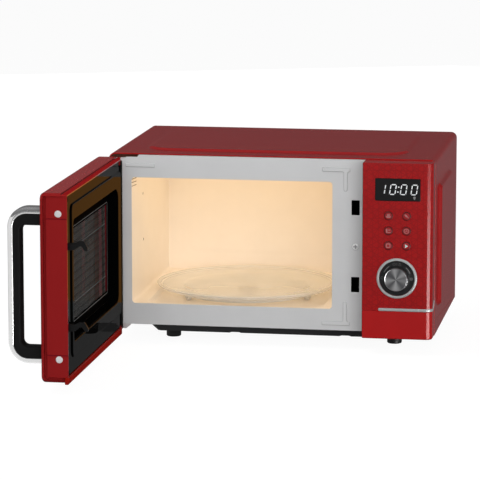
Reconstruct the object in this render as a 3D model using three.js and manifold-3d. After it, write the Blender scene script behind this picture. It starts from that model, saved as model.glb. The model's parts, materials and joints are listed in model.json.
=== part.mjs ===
// Countertop microwave oven with a side-hinged door, a turntable and a dial control panel.
// Millimetres, +Z up, +Y to the back. The door stands open at 90 degrees, its rest position.
// Dimensions below are given in the cabinet's own frame: x = 0 at the cabinet's left side,
// y = 0 at the face of the front plate, z = 0 at the lower edge of the control panel.
// The whole group is then shifted so that the origin is the centre of the front-left foot's sole.
import * as THREE from 'three';
import { mergeVertices } from 'three/addons/utils/BufferGeometryUtils.js';
import Module from 'manifold-3d';

const wasm = await Module();
wasm.setup();

// ---------------------------------------------------------------- driving dimensions
const W = 440;                 // cabinet width
const D = 288.9;               // cabinet depth behind the front plate
const ZT = 236;                // cabinet top
const SHEET = 0.8;             // sheet steel of the wrapper
const PLATE = 1.2;             // front plate
const GAP = 0.3;               // clearance between pieces that touch
const COVER_R = 8;             // bend radius of the wrapper's top corners
const TOP_RISE = 2.4;           // height of the pressed field on the wrapper's top
const SIDE_RISE = 4.8;          // height of the pressed field on each side

const FOOT_X = [78, 381];      // foot centres
const FOOT_Y = [52, 238];
const FOOT_R = 10;
const SOLE_Z = -21.5;

const OPEN_X = [30.7, 302.4];  // opening in the front plate
const OPEN_Z = [32.0, 203.3];
const CAV_X = [27.6, 305.4];   // cavity, inside faces
const CAV_Y = [1.5, 281.0];
const CAV_Z = [30.5, 206.0];
const SINK_Z = 24.0;           // sunk part of the cavity floor, under the tray
const TRAY = [166.5, 133.6];   // turntable axis
const TRAY_R = 124.8;

const SLOT_X = [328.6, 338.7]; // latch slots
const SLOT_Z = [[159.9, 179.1], [56.1, 75.8]];

const PANEL_X = [346.6, 439.8];// control panel
const PANEL_Y = -32.0;
const PANEL_TOP = 234.6;
const SEAM_Z = 37.5;           // lower edge of the decor film
const DISPLAY = [363.5, 423.0, 185.0, 214.5];
const BTN_X = [381.2, 405.1];
const BTN_Z = [165.0, 145.1, 125.3];
const BTN_R = 5.6;
const DIAL = [393.1, 81.9];

const HINGE = [8.9, -11.7];    // door hinge axis
const DOOR_X = [1.2, 345.3];
const DOOR_Y = [-32.0, -0.6];
const DOOR_Z = [-6.3, 232.0];
const WIN = [37.5, 306.5, 40.0, 194.0]; // window in the choke cover
const HANDLE_X = [314, 336];
const HANDLE_Z = [15.5, 213.2];
const HANDLE_Y = -79.0;        // outermost face of the handle, door closed
const HOOK_X = [331.0, 336.2];
const FAN = [373, 150];        // fan axis, x and z
const ROLL0 = -2.44;            // turn of the roller ring at rest, radians

// ---------------------------------------------------------------- solid helpers
const TO_Y = new THREE.Matrix4().set(1, 0, 0, 0, 0, 0, -1, 0, 0, 1, 0, 0, 0, 0, 0, 1);
const TO_X = new THREE.Matrix4().set(0, 0, 1, 0, 1, 0, 0, 0, 0, 1, 0, 0, 0, 0, 0, 1);

function solid(geometry) {
  const g = geometry.clone();
  for (const n of ['normal', 'uv']) if (g.attributes[n]) g.deleteAttribute(n);
  const m = mergeVertices(g, 1e-3);
  const p = m.attributes.position.array;
  const keep = [];
  let vol = 0;
  for (let i = 0; i < m.index.count; i += 3) {
    const [a, b, c] = [m.index.getX(i), m.index.getX(i + 1), m.index.getX(i + 2)];
    if (a === b || b === c || a === c) continue;
    keep.push(a, b, c);
    const [ax, ay, az, bx, by, bz, cx, cy, cz] = [a, b, c].flatMap((k) => [p[3 * k], p[3 * k + 1], p[3 * k + 2]]);
    vol += ax * (by * cz - bz * cy) - ay * (bx * cz - bz * cx) + az * (bx * cy - by * cx);
  }
  if (vol < 0) for (let i = 0; i < keep.length; i += 3) [keep[i + 1], keep[i + 2]] = [keep[i + 2], keep[i + 1]];
  return new wasm.Manifold(new wasm.Mesh({
    numProp: 3, vertProperties: new Float32Array(p), triVerts: new Uint32Array(keep),
  }));
}

// Straight prism of a 2-D outline between a and b along an axis.
// Outline coordinates: (x, y) along z, (x, z) along y, (y, z) along x.
function prism(axis, outline, a, b, holes = []) {
  const shape = new THREE.Shape(outline.map((q) => new THREE.Vector2(q[0], q[1])));
  for (const h of holes) shape.holes.push(new THREE.Path(h.map((q) => new THREE.Vector2(q[0], q[1]))));
  const g = new THREE.ExtrudeGeometry(shape, { depth: b - a, bevelEnabled: false, steps: 1 });
  if (axis === 'y') g.applyMatrix4(TO_Y).translate(0, b, 0);
  else if (axis === 'x') g.applyMatrix4(TO_X).translate(a, 0, 0);
  else g.translate(0, 0, a);
  return solid(g);
}
const box = (x0, y0, z0, x1, y1, z1) => solid(
  new THREE.BoxGeometry(x1 - x0, y1 - y0, z1 - z0).translate((x0 + x1) / 2, (y0 + y1) / 2, (z0 + z1) / 2));

// Rounded rectangle; r is one radius or four (x0y0, x1y0, x1y1, x0y1); n segments a corner.
function rr(x0, y0, x1, y1, r, n = 3) {
  const R = Array.isArray(r) ? r : [r, r, r, r];
  const c = [[x0 + R[0], y0 + R[0], 180], [x1 - R[1], y0 + R[1], 270], [x1 - R[2], y1 - R[2], 0], [x0 + R[3], y1 - R[3], 90]];
  const out = [];
  c.forEach(([cx, cy, a], i) => {
    if (R[i] === 0) { out.push([cx, cy]); return; }
    for (let k = 0; k <= n; k++) {
      const t = (a + (90 * k) / n) * Math.PI / 180;
      out.push([cx + R[i] * Math.cos(t), cy + R[i] * Math.sin(t)]);
    }
  });
  return out;
}
const ring2 = (cx, cy, r, n) => Array.from({ length: n }, (_, k) => [
  cx + r * Math.cos((2 * Math.PI * k) / n), cy + r * Math.sin((2 * Math.PI * k) / n)]);

// Solid of revolution about an axis through (c1, c2): profile points are (radius, height).
function turned(axis, profile, seg, c1, c2) {
  const g = new THREE.LatheGeometry(profile.map((q) => new THREE.Vector2(q[0], q[1])), seg);
  if (axis === 'z') g.rotateX(Math.PI / 2).translate(c1, c2, 0);
  else if (axis === 'y') g.translate(c1, 0, c2);
  else g.rotateZ(-Math.PI / 2).translate(0, c1, c2);
  return solid(g);
}
const rod = (axis, r, a, b, c1, c2, seg = 20) => turned(axis, [[0, a], [r, a], [r, b], [0, b]], seg, c1, c2);
const hoop = (axis, ri, ro, a, b, c1, c2, seg = 24) =>
  turned(axis, [[ri, a], [ro, a], [ro, b], [ri, b], [ri, a]], seg, c1, c2);

// Skin between equal-length rings of points, capped at both ends (convex end rings).
function loft(rings) {
  const n = rings[0].length;
  const pos = [], idx = [];
  rings.forEach((r) => r.forEach((q) => pos.push(...q)));
  for (let k = 0; k + 1 < rings.length; k++) {
    for (let i = 0; i < n; i++) {
      const j = (i + 1) % n, a = k * n + i, b = k * n + j, c = a + n, d = b + n;
      idx.push(a, b, d, a, d, c);
    }
  }
  const last = (rings.length - 1) * n;
  for (let i = 1; i + 1 < n; i++) { idx.push(0, i + 1, i); idx.push(last, last + i, last + i + 1); }
  const g = new THREE.BufferGeometry();
  g.setAttribute('position', new THREE.BufferAttribute(new Float32Array(pos), 3));
  g.setIndex(idx);
  return solid(g);
}
// Frustum of two outlines at two heights along an axis.
const at = (axis, q, h) => (axis === 'z' ? [q[0], q[1], h] : axis === 'y' ? [q[0], h, q[1]] : [h, q[0], q[1]]);
const frustum = (axis, o1, h1, o2, h2) => loft([o1.map((q) => at(axis, q, h1)), o2.map((q) => at(axis, q, h2))]);
const join = (...s) => s.reduce((a, b) => a.add(b));
const cut = (a, ...s) => s.reduce((x, b) => x.subtract(b), a);

function node(parent, name, s, colour, roughness, metalness) {
  const m = s.getMesh();
  const g = new THREE.BufferGeometry();
  g.setAttribute('position', new THREE.BufferAttribute(new Float32Array(m.vertProperties), 3));
  g.setIndex(new THREE.BufferAttribute(new Uint32Array(m.triVerts), 1));
  g.computeVertexNormals();
  const mesh = new THREE.Mesh(g, new THREE.MeshStandardMaterial({ color: colour, roughness, metalness }));
  mesh.name = name;
  parent.add(mesh);
  return mesh;
}

// ---------------------------------------------------------------- groups
const oven = new THREE.Group();
oven.position.set(-FOOT_X[0], -FOOT_Y[0], -SOLE_Z);
const hinge = new THREE.Group();          // the door's own turning frame, open by 90 degrees
hinge.position.set(HINGE[0], HINGE[1], 0);
hinge.rotation.z = -Math.PI / 2;
const door = new THREE.Group();           // door pieces are drawn as the door stands closed
door.position.set(-HINGE[0], -HINGE[1], 0);
hinge.add(door);
oven.add(hinge);

const RED = 0x8f1a1b, STEEL = 0xb9bbbd, BLACK = 0x161616, ZINC = 0xa3a6a8, CREAM = 0xe9d6b8;

// ================================================================ cabinet
// Wrapper: top and both sides bent from one sheet, with a raised field on the top and on each side.
{
  const t = SHEET;
  const arc = (cx, cz, r, a0, a1, n) => Array.from({ length: n + 1 }, (_, k) => {
    const a = (a0 + ((a1 - a0) * k) / n) * Math.PI / 180; return [cx + r * Math.cos(a), cz + r * Math.sin(a)];
  });
  const R = COVER_R, r = COVER_R - t;
  const outline = [[0, 0], ...arc(R, ZT - R, R, 180, 90, 4), ...arc(W - R, ZT - R, R, 90, 0, 4), [W, 0], [W - t, 0],
    ...arc(W - R, ZT - R, r, 0, 90, 4), ...arc(R, ZT - R, r, 90, 180, 4), [t, 0]];
  let s = prism('y', outline, 0, D);
  const h = TOP_RISE, k = SIDE_RISE;
  s = s.add(frustum('z', rr(40, 33, 398, 264, 38, 5), ZT - 0.05, rr(46, 40, 392, 258, 32, 5), ZT + h));
  s = cut(s, frustum('z', rr(41, 34, 397, 263, 37, 5), ZT - t - 0.1, rr(47, 41, 391, 257, 31, 5), ZT + h - t));
  for (const q of [1, -1]) {
    const at = (d) => (q > 0 ? W + d : -d);
    s = s.add(frustum('x', rr(35, 31, 190, 200, 12, 3), at(-0.05), rr(41, 37, 184, 194, 8, 3), at(k)));
    s = cut(s, frustum('x', rr(36, 32, 189, 199, 11, 3), at(-t - 0.1), rr(42, 38, 183, 193, 7, 3), at(k - t)));
  }
  node(oven, 'outer_cover', s, 0x7a2324, 0.42, 0.15);
}
// Base pan: flange with a sunk tray that carries the feet; two pressed channels run front to back.
{
  let s = box(1.6, 2.0, 3.4, W - 1.6, D - 3.7, 4.6);
  s = s.add(frustum('z', rr(63.5, 5, 396, 274, 6, 2), -5.6, rr(53, 2.1, 406, 284, 8, 2), 3.9));
  s = cut(s, box(0, 1, 2, 29, 3.8, 6), frustum('z', rr(65.2, 6.7, 394.3, 272.3, 6, 2), -4.0, rr(54.2, 3.4, 404.8, 282.8, 8, 2), 5.2));
  for (const x of [171, 320]) s = cut(s, prism('y', [[x - 9, -6], [x + 9, -6], [x + 5, -4.6], [x - 5, -4.6]], 1, 290));
  node(oven, 'base_pan', s, 0x1b1b1b, 0.5, 0.3);
}
// Rear panel with air outlet slots round the fan and a hole for the cord gland.
{
  let s = prism('y', rr(1.6, 1.0, W - 1.6, ZT - 1.6, [0, 0, 6.4, 6.4], 3), 285.6, 286.8);
  for (let i = 0; i < 7; i++) {
    const z = FAN[1] - 42 + 14 * i, half = Math.sqrt(52 * 52 - (z - FAN[1]) ** 2);
    s = cut(s, prism('y', rr(FAN[0] - half, z - 3, FAN[0] + half, z + 3, 3, 2), 285, 288));
  }
  for (let i = 0; i < 5; i++) s = cut(s, prism('y', rr(60, 40 + 14 * i, 130, 45 + 14 * i, 2.5, 2), 285, 288));
  s = cut(s, rod('y', 7.3, 285, 288, 405, 34, 16));
  node(oven, 'rear_panel', s, 0x8d8f91, 0.5, 0.6);
}
// Front plate with the oven opening, latch slots, pressed stiffening ribs and a relieved top corner.
{
  let s = prism('y', [[2, 3.2], [W - 2, 3.2], [W - 2, 228], [W - 2.9, 231.2], [W - 5, 233.3], [W - 8, 234], [41, 234], [38.5, 230.9], [23.5, 230.9], [21, 227.2], [2, 227.2]], 0, PLATE);
  s = cut(s, prism('y', rr(OPEN_X[0], OPEN_Z[0], OPEN_X[1], OPEN_Z[1], 4, 3), -2, 3));
  const rib = (x0, z0, x1, z1) => {
    const r = Math.min(x1 - x0, z1 - z0) / 2 - 0.01;
    return frustum('y', rr(x0, z0, x1, z1, r, 4), 0.4, rr(x0 + 0.9, z0 + 0.9, x1 - 0.9, z1 - 0.9, r - 0.9, 4), -0.9);
  };
  s = join(s, rib(288.7, 217, 330.4, 222.6), rib(317.2, 190.6, 322.8, 221), rib(288.7, 9.9, 330.4, 15.5),
    rib(317.2, 11, 322.8, 43), rib(24, 217, 62.9, 222.6));
  for (const [a, b] of SLOT_Z) s = cut(s, box(SLOT_X[0], -3, a, SLOT_X[1], 3, b));
  s = cut(s, rod('y', 2.1, -3, 3, 333.7, 117.2, 10));
  node(oven, 'front_plate', s, STEEL, 0.4, 0.4);
}
// Cavity: one-piece lining, open to the front, with a sunk floor, air slots and a waveguide port.
{
  const t = 0.8;
  let s = box(CAV_X[0] - t, CAV_Y[0], CAV_Z[0] - t, CAV_X[1] + t, CAV_Y[1] + t, CAV_Z[1] + t);
  s = s.add(box(45.2, 10.2, SINK_Z - t, 288.8, 265.8, CAV_Z[0]));
  s = cut(s, prism('y', rr(CAV_X[0], CAV_Z[0], CAV_X[1], CAV_Z[1], [6, 6, 6, 6], 2), CAV_Y[0] - 1, CAV_Y[1]));
  s = cut(s, frustum('z', rr(48, 13, 286, 263, 20, 3), SINK_Z, rr(46, 11, 288, 265, 22, 3), CAV_Z[0] + 0.5));
  for (const z of [187.2, 192.0, 196.6]) s = cut(s, prism('x', [[12, z + 0.6], [50, z - 2.0], [50, z - 0.2], [12, z + 2.4]], CAV_X[0] - 3, CAV_X[0] + 1));
  for (const [y, z] of [[94.6, 167.1], [96.6, 103.4]]) s = cut(s, rod('x', 1.4, CAV_X[0] - 3, CAV_X[0] + 1, y, z, 6));
  s = cut(s, box(CAV_X[1] - 1, 132, 122, CAV_X[1] + 3, 206, 166));
  for (let i = 0; i < 3; i++) for (let j = 0; j < 3; j++) s = cut(s, box(CAV_X[1] - 1, 62 + 8 * i, 178 + 8 * j, CAV_X[1] + 3, 66 + 8 * i, 182 + 8 * j));
  s = cut(s, rod('z', 8, SINK_Z - 3, SINK_Z + 2, TRAY[0], TRAY[1], 16));
  node(oven, 'cavity_liner', s, CREAM, 0.35, 0.1);
}
node(oven, 'waveguide_cover', prism('x', rr(126, 114, 212, 174, 5, 2), CAV_X[1] - 1.1, CAV_X[1] - GAP), 0xb9b39f, 0.6, 0);
// Waveguide: box duct on the cavity's right wall, open to the port, with the antenna hole in its far wall.
{
  let s = box(CAV_X[1] + 1.3, 124, 112, 336, 214, 176);
  s = cut(s, box(CAV_X[1], 126, 114, 334.6, 212, 174), rod('x', 12, 330, 340, 170, 145, 14));
  node(oven, 'waveguide', s, ZINC, 0.45, 0.8);
}
// Magnetron: flange, antenna dome, cooling fins round the tube, and the filter box.
{
  let s = join(box(336.3, 128, 114, 338.3, 212, 176), box(338.3, 148, 123, 400, 192, 167), rod('x', 7.5, 316, 337, 170, 145, 14));
  for (let i = 0; i < 6; i++) s = s.add(box(345 + 7 * i, 138, 117, 346.2 + 7 * i, 202, 173));
  s = join(s, box(338, 134, 119, 340, 206, 171), box(396, 142, 120, 424, 198, 170));
  node(oven, 'magnetron', s, 0x9b9ea0, 0.5, 0.8);
}
// High-voltage transformer: laminated core, windings and a foot plate.
node(oven, 'transformer', join(box(322, 56, -3.7, 391, 142, -0.9), box(330, 62, -1, 386, 136, 60), prism('y', rr(316, 14, 400, 46, 10, 2), 72, 126)), 0x5b4a3a, 0.6, 0.5);
node(oven, 'capacitor', join(prism('y', rr(330, -3.7, 362, 45, 15.5, 4), 152, 226), box(335, 148, 12, 339, 153, 20), box(353, 148, 22, 357, 153, 30)), 0xb5b7b8, 0.35, 0.8);
// Fan shroud: plate with a round duct, on a leg that stands in the base pan.
{
  const [x, z] = FAN;
  let s = join(box(x - 58, 238, z - 58, x + 58, 240, z + 58), rod('y', 57, 240, 258, x, z, 28), box(345, 238, -3.7, 385, 240, z - 50));
  s = cut(s, rod('y', 54, 230, 262, x, z, 28));
  node(oven, 'fan_shroud', s, 0x2b2b2b, 0.6, 0);
}
node(oven, 'fan_motor', cut(join(box(FAN[0] - 30, 264, FAN[1] - 24, FAN[0] + 30, 278, FAN[1] + 24), rod('y', 9, 278, 285, FAN[0], FAN[1], 14)), rod('y', 2.9, 262, 276, FAN[0], FAN[1], 12)), 0x6d5a48, 0.55, 0.5);
// Fan: hub, shaft and five pitched blades.
{
  const [x, z] = FAN;
  let s = join(rod('y', 11, 246, 257, x, z, 16), rod('y', 2.4, 256, 274, x, z, 12));
  for (let k = 0; k < 5; k++) {
    const g = new THREE.BoxGeometry(30, 2, 40).rotateZ(0.5).translate(0, 251.5, 30).rotateY((2 * Math.PI * k) / 5).translate(x, 0, z);
    s = s.add(solid(g));
  }
  node(oven, 'fan_blade', s, 0xd8d8d4, 0.5, 0);
}
// Cavity lamp: socket behind the perforated lamp window, with its glass bulb.
node(oven, 'cavity_lamp', join(box(320, 60, 178, 334, 86, 200), turned('x', [[0, 308.5], [4, 309.5], [7, 313], [7, 317], [5, 321], [0, 321]], 12, 73, 189)), 0xefe6cf, 0.3, 0);
node(oven, 'turntable_motor', cut(join(rod('z', 24.5, 3.8, 22.6, TRAY[0], TRAY[1], 24), box(TRAY[0] - 34, TRAY[1] - 5, 21.0, TRAY[0] + 34, TRAY[1] + 5, 22.6)), rod('z', 4.6, 14, 24, TRAY[0], TRAY[1], 14)), 0x9fa1a3, 0.5, 0.7);
// Latch board: carries the two catch ledges, the screw boss and the interlock switches.
{
  const x1 = 343.2;
  let s = join(box(340.6, 1.6, 44, x1, 44, 188), box(327.2, 3.5, 150, 341, 16, 159.2), box(327.2, 3.5, 46, 341, 16, 55.6),
    box(326.6, 1.6, 109, 341, 14, 126));
  s = cut(s, rod('y', 2.1, 0, 11, 333.7, 117.2, 10));
  node(oven, 'latch_board', s, 0x1d1d1d, 0.55, 0);
}
for (const [name, z] of [['interlock_switch_upper', 164], ['interlock_switch_lower', 62]]) {
  node(oven, name, join(box(343.5, 12, z - 8, 353.5, 40, z + 8), box(346, 39, z - 5, 351, 46, z - 4)), 0x2a2420, 0.5, 0);
}
// Cross-head screw through the front plate into the latch board.
{
  let s = join(turned('y', [[0, -2.6], [2.2, -2.5], [3.6, -1.9], [4.3, -0.8], [4.3, -GAP], [0, -GAP]], 16, 333.7, 117.2), rod('y', 1.7, -0.5, 9, 333.7, 117.2, 10));
  s = cut(s, box(333.7 - 2.5, -4, 117.2 - 0.5, 333.7 + 2.5, -1.6, 117.2 + 0.5), box(333.7 - 0.5, -4, 117.2 - 2.5, 333.7 + 0.5, -1.6, 117.2 + 2.5));
  node(oven, 'plate_screw', s, 0xd5d7d9, 0.3, 0.9);
}
// Hinge brackets: leaf behind the front plate, tongue to the front, riveted pin.
{
  const [hx, hy] = HINGE;
  const low = join(prism('y', [[4, -3.6], [22, -3.6], [28, 1.5], [28, 27], [4, 27]], 1.6, 3.2),
    prism('z', [[3.9, 3.2], [3.9, hy], [5.4, hy - 3.6], [8.9, hy - 5.1], [12.4, hy - 3.6], [13.9, hy], [13.9, 3.2]], -3.6, -1.8),
    rod('z', 2.5, -2.5, 8, hx, hy, 12));
  node(oven, 'lower_hinge', low, ZINC, 0.35, 0.9);
  const up = join(box(4, 1.6, 196, 22, 3.2, 229.8), prism('z', [[3.9, 3.2], [3.9, hy], [5.4, hy - 3.6], [8.9, hy - 5.1], [12.4, hy - 3.6], [13.9, hy], [13.9, 3.2]], 228, 229.8),
    rod('z', 2.5, 218, 228.5, hx, hy, 12));
  node(oven, 'upper_hinge', up, ZINC, 0.35, 0.9);
}
// Feet.
[['foot_front_left', 0, 0], ['foot_front_right', 1, 0], ['foot_rear_left', 0, 1], ['foot_rear_right', 1, 1]].forEach(([name, i, j]) => {
  node(oven, name, turned('z', [[0, SOLE_Z], [FOOT_R - 1.4, SOLE_Z], [FOOT_R - 0.4, SOLE_Z + 1], [FOOT_R, -5.9], [0, -5.9]], 18, FOOT_X[i], FOOT_Y[j]), 0x141414, 0.6, 0);
});
// Cord gland in the rear panel, bored for the mains lead.
node(oven, 'cord_gland', turned('y', [[4, 280], [6.9, 280], [6.9, 287.2], [9.2, 287.2], [9.2, 290], [7, 293], [4, 293], [4, 280]], 12, 405, 34), 0x181818, 0.7, 0);

// ================================================================ control panel
// Outline of the panel in plan, moved inwards by off: square back, rounded front right edge.
const plan = (off, y1, r = 9) => {
  const n = 6, R = r - off, out = [[PANEL_X[0], y1], [PANEL_X[0], PANEL_Y + off]];
  for (let k = 0; k <= n; k++) {
    const a = (-90 + (90 * k) / n) * Math.PI / 180;
    out.push([PANEL_X[1] - off - R + R * Math.cos(a), PANEL_Y + off + R + R * Math.sin(a)]);
  }
  out.push([PANEL_X[1] - off, y1]);
  return out;
};
const panelHoles = (y0, y1, grow) => {
  const tools = [box(DISPLAY[0] - grow, y0, DISPLAY[2] - grow, DISPLAY[1] + grow, y1, DISPLAY[3] + grow)];
  for (const x of BTN_X) for (const z of BTN_Z) tools.push(rod('y', BTN_R + grow, y0, y1, x, z, 14));
  return tools;
};
// Panel housing: moulded shell, open at the back, its upper part stepped in by the film's thickness.
{
  let s = join(prism('z', plan(0, -0.4), 0, SEAM_Z - 0.15), prism('z', plan(0.75, -0.4), 1, PANEL_TOP));
  const inner = plan(2.9, 2).map((q) => [Math.max(q[0], PANEL_X[0] + 2.1), q[1]]);
  s = cut(s, prism('z', inner, 2.4, PANEL_TOP - 2.2), ...panelHoles(-40, -27, 0.35), rod('y', 5.6, -40, -27, DIAL[0], DIAL[1], 14));
  node(oven, 'control_housing', s, RED, 0.3, 0);
}
// Decor film on the housing: front and round edge.
{
  const o = plan(0, -3), i = plan(0.45, -3).reverse();
  o.shift(); i.pop();
  let s = prism('z', [...o, ...i], SEAM_Z + 0.15, PANEL_TOP);
  s = cut(s, ...panelHoles(-40, -25, 0.35), rod('y', 23.4, -40, -25, DIAL[0], DIAL[1], 28));
  node(oven, 'panel_film', s, 0x961b1c, 0.3, 0);
}
node(oven, 'display_window', join(prism('y', rr(DISPLAY[0], DISPLAY[2], DISPLAY[1], DISPLAY[3], 1.2, 2), -32.2, -28.4), box(360.5, -28.8, 182, 426, -27.4, 217.5)), 0x1c1c1c, 0.2, 0);
// Control board with tact switches, display module and encoder pins.
{
  let s = box(351, -14.6, 24, 436, -13, 226);
  for (const x of BTN_X) for (const z of BTN_Z) s = s.add(box(x - 3, -18.4, z - 3, x + 3, -14.5, z + 3));
  s = s.add(box(366, -24, 190, 420, -14.5, 210));
  node(oven, 'control_board', s, 0x2f5a3a, 0.6, 0.1);
}
node(oven, 'dial_encoder', cut(join(box(DIAL[0] - 7, -26.5, DIAL[1] - 7, DIAL[0] + 7, -14.9, DIAL[1] + 7), rod('y', 5.1, -30.5, -26, DIAL[0], DIAL[1], 14)), rod('y', 3.5, -32, -19, DIAL[0], DIAL[1], 14)), 0x6b6e70, 0.5, 0.5);
node(oven, 'dial_bezel', turned('y', [[23.4, -32.3], [26.9, -32.3], [26.9, -33.4], [26.2, -34.4], [24.6, -34.8], [23.4, -34.2], [23.4, -32.3]], 30, ...DIAL), 0xc9cbcd, 0.3, 0.8);
node(oven, 'dial_plate', turned('y', [[4.2, -31.55], [23.0, -31.55], [23.0, -32.9], [4.2, -32.9], [4.2, -31.55]], 28, ...DIAL), 0x171717, 0.4, 0);
// Bright trim line: along the front, round the edge, then up and back along the side.
{
  const o = plan(-1.15, -1, 9), i = plan(-0.3, -1, 9).reverse();
  o.shift(); i.pop();
  let s = prism('z', [...o, ...i], 30, 60);
  const mask = join(
    join(box(370, -36, 37.6, 441.5, -20, 41.6), prism('y', ring2(370, 39.6, 2, 12), -36, -20)),
    prism('x', [[-22, 37.6], [-4, 46.6], [-4, 50.8], [-22, 41.6]], 436, 442));
  node(oven, 'trim_line', s.intersect(mask), 0xc6c8ca, 0.25, 0.8);
}
// Selector knob with its shaft.
node(oven, 'selector_knob', turned('y', [[0, -44.8], [14.6, -44.8], [15.3, -44.2], [15.6, -43.4], [15.6, -34.4], [15.0, -33.8], [3.0, -33.8], [3.0, -20.4], [0, -20.4]], 28, ...DIAL), 0xb4b6b8, 0.25, 0.9);
// Buttons: cap, retaining flange and stem.
[['button_meal', 0, 0], ['button_defrost', 1, 0], ['button_menu', 0, 1], ['button_clock', 1, 1], ['button_stop', 0, 2], ['button_start', 1, 2]].forEach(([name, i, j]) => {
  node(oven, name, turned('y', [[0, -32.3], [5.0, -32.3], [BTN_R, -31.8], [BTN_R, -28.6], [7.2, -28.6], [7.2, -27.2], [1.8, -27.2], [1.8, -20.3], [0, -20.3]], 14, BTN_X[i], BTN_Z[j]), 0x8c1c1d, 0.35, 0);
});

// ================================================================ turntable
// Glass tray: flat middle, shallow step, low rim.
node(oven, 'glass_tray', turned('z', [[0, 35.5], [84, 35.5], [90, 35.2], [112, 35.2], [119, 36.4], [TRAY_R - 0.6, 40.0], [TRAY_R, 41.8], [TRAY_R - 1.4, 42.4],
  [117, 40.2], [111, 38.8], [90, 38.8], [84, 38.1], [0, 38.1]], 44, ...TRAY), 0xd9dcd6, 0.08, 0);
// Drive coupler: three-armed head on a shaft that reaches the motor through the floor.
{
  let s = join(rod('z', 4.1, 15, 27, TRAY[0], TRAY[1], 14), rod('z', 9, 26, 34.9, TRAY[0], TRAY[1], 18));
  for (let k = 0; k < 3; k++) s = s.add(solid(new THREE.BoxGeometry(9, 7, 7.4).translate(11, 0, 31.2).rotateZ((2 * Math.PI * k) / 3 + 0.5).translate(TRAY[0], TRAY[1], 0)));
  node(oven, 'turntable_coupler', s, 0xe8e6df, 0.5, 0);
}
// Roller ring: hoop with three axle stubs, and its rollers.
{
  const R0 = 84, R1 = 87.5, RR = 94;
  let s = hoop('z', R0, R1, 27, 33, TRAY[0], TRAY[1], 36);
  const stub = (k) => {
    const a = (2 * Math.PI * k) / 3 + ROLL0;
    return solid(new THREE.CylinderGeometry(1.7, 1.7, 12, 10).rotateZ(Math.PI / 2).translate(92, 0, 29.75).rotateZ(a).translate(TRAY[0], TRAY[1], 0));
  };
  for (let k = 0; k < 3; k++) s = s.add(stub(k));
  node(oven, 'roller_ring', s, 0xe4e2da, 0.5, 0);
  for (let k = 0; k < 3; k++) {
    const g = new THREE.LatheGeometry([[2.1, -3], [5.0, -3], [5.4, -2.4], [5.4, 2.4], [5.0, 3], [2.1, 3], [2.1, -3]].map((q) => new THREE.Vector2(...q)), 16);
    g.rotateZ(-Math.PI / 2).translate(RR, 0, 29.75);
    const grp = new THREE.Group();
    grp.position.set(TRAY[0], TRAY[1], 0);
    grp.rotation.z = (2 * Math.PI * k) / 3 + ROLL0;
    oven.add(grp);
    node(grp, ['roller_front', 'roller_right', 'roller_back'][k], solid(g), 0xe8e6df, 0.5, 0);
  }
}

// ================================================================ door (drawn closed)
// Door frame: outer face with round edges, window rebate, four walls, hinge webs and relieved hinge corner.
{
  const [x0, x1] = DOOR_X, [y0, y1] = DOOR_Y, [z0, z1] = DOOR_Z;
  const face = (i, r) => rr(x0 + i, z0 + i, x1 - i, z1 - i, r, 3);
  const ring = (i, r, y) => face(i, r).map((q) => [q[0], y, q[1]]);
  let s = loft([ring(6, 2, y0), ring(3, 5, y0 + 0.8), ring(0.9, 7, y0 + 3), ring(0, 8, y0 + 6), ring(0, 8, y0 + 7)]);
  const wall = box(x0, y0 + 6.5, z0, x1, y1, z1);
  s = s.add(wall.intersect(prism('y', face(0, 8), y0 + 6.5, y1)));
  // hollow inside, behind the face slab
  s = cut(s, box(x0 + 3, y0 + 9, z0 + 7.4, x1 - 4.8, y1 - 2.6, z1 - 2.6));
  s = cut(s, box(x0 + 8, y0 + 9, z0 + 7.4, x1 - 4.0, y1 + 1, z1 - 1.8));
  // free edge: recessed field between rims, with a deeper pocket at each end
  s = cut(s, box(x1 - 2.5, y0 + 7.4, z0 + 7, x1 + 1, y1 + 1, z1 - 4.6));
  s = cut(s, box(x1 - 3.3, y0 + 7.4, z0 + 9, x1 + 1, y1 + 1, 28.5), box(x1 - 3.3, y0 + 7.4, 200.6, x1 + 1, y1 + 1, z1 - 4.6));
  // window: through opening and glass rebate
  s = cut(s, prism('y', rr(40, 34, 292, 192, 6, 2), y0 - 1, y0 + 12), prism('y', rr(30, 24, 302, 202, 10, 3), y0 - 1, y0 + 3.7));
  // rear edge of the top wall slopes down, hinge corner is bevelled to turn clear of the front plate
  s = cut(s, prism('x', [[y1 - 5.8, z1 + 0.01], [y1 + 0.5, z1 - 1.2], [y1 + 0.5, z1 + 2], [y1 - 5.8, z1 + 2]], x0 - 1, x1 + 1));
  s = cut(s, prism('z', [[x0 - 1, -4.6], [x0 + 0.1, -4.6], [HINGE[0], -0.4], [HINGE[0], 2], [x0 - 1, 2]], z0 - 1, z1 + 1));
  // hinge webs, pin holes and the slots the hinge tongues turn in
  s = join(s, box(x0 + 1, y0 + 7, z0 + 5.0, 21, -3.4, z0 + 9.0).intersect(prism('z', [[x0 + 1, -30], [21, -30], [21, -3.4], [6, -3.4], [x0 + 1, -6]], z0, z1)),
    box(x0 + 1, y0 + 7, 222, 21, -3.4, 227.4).intersect(prism('z', [[x0 + 1, -30], [21, -30], [21, -3.4], [6, -3.4], [x0 + 1, -6]], z0, z1)));
  s = cut(s, box(x0 - 1, -19.6, z0 - 1, 15.2, 2, -1.2), box(x0 - 1, -19.6, 227.4, 15.2, 2, 230.4));
  s = cut(s, rod('z', 2.9, -3, 12, ...HINGE, 14), rod('z', 2.9, 214, 229, ...HINGE, 14));
  // seats for the latch spring
  s = join(s, box(330.6, y0 + 8, 208, 336.6, -6, 210.4), box(330.6, y0 + 8, 208, 336.6, y0 + 10, z1 - 2));
  node(door, 'door_frame', s, RED, 0.3, 0);
}
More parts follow.
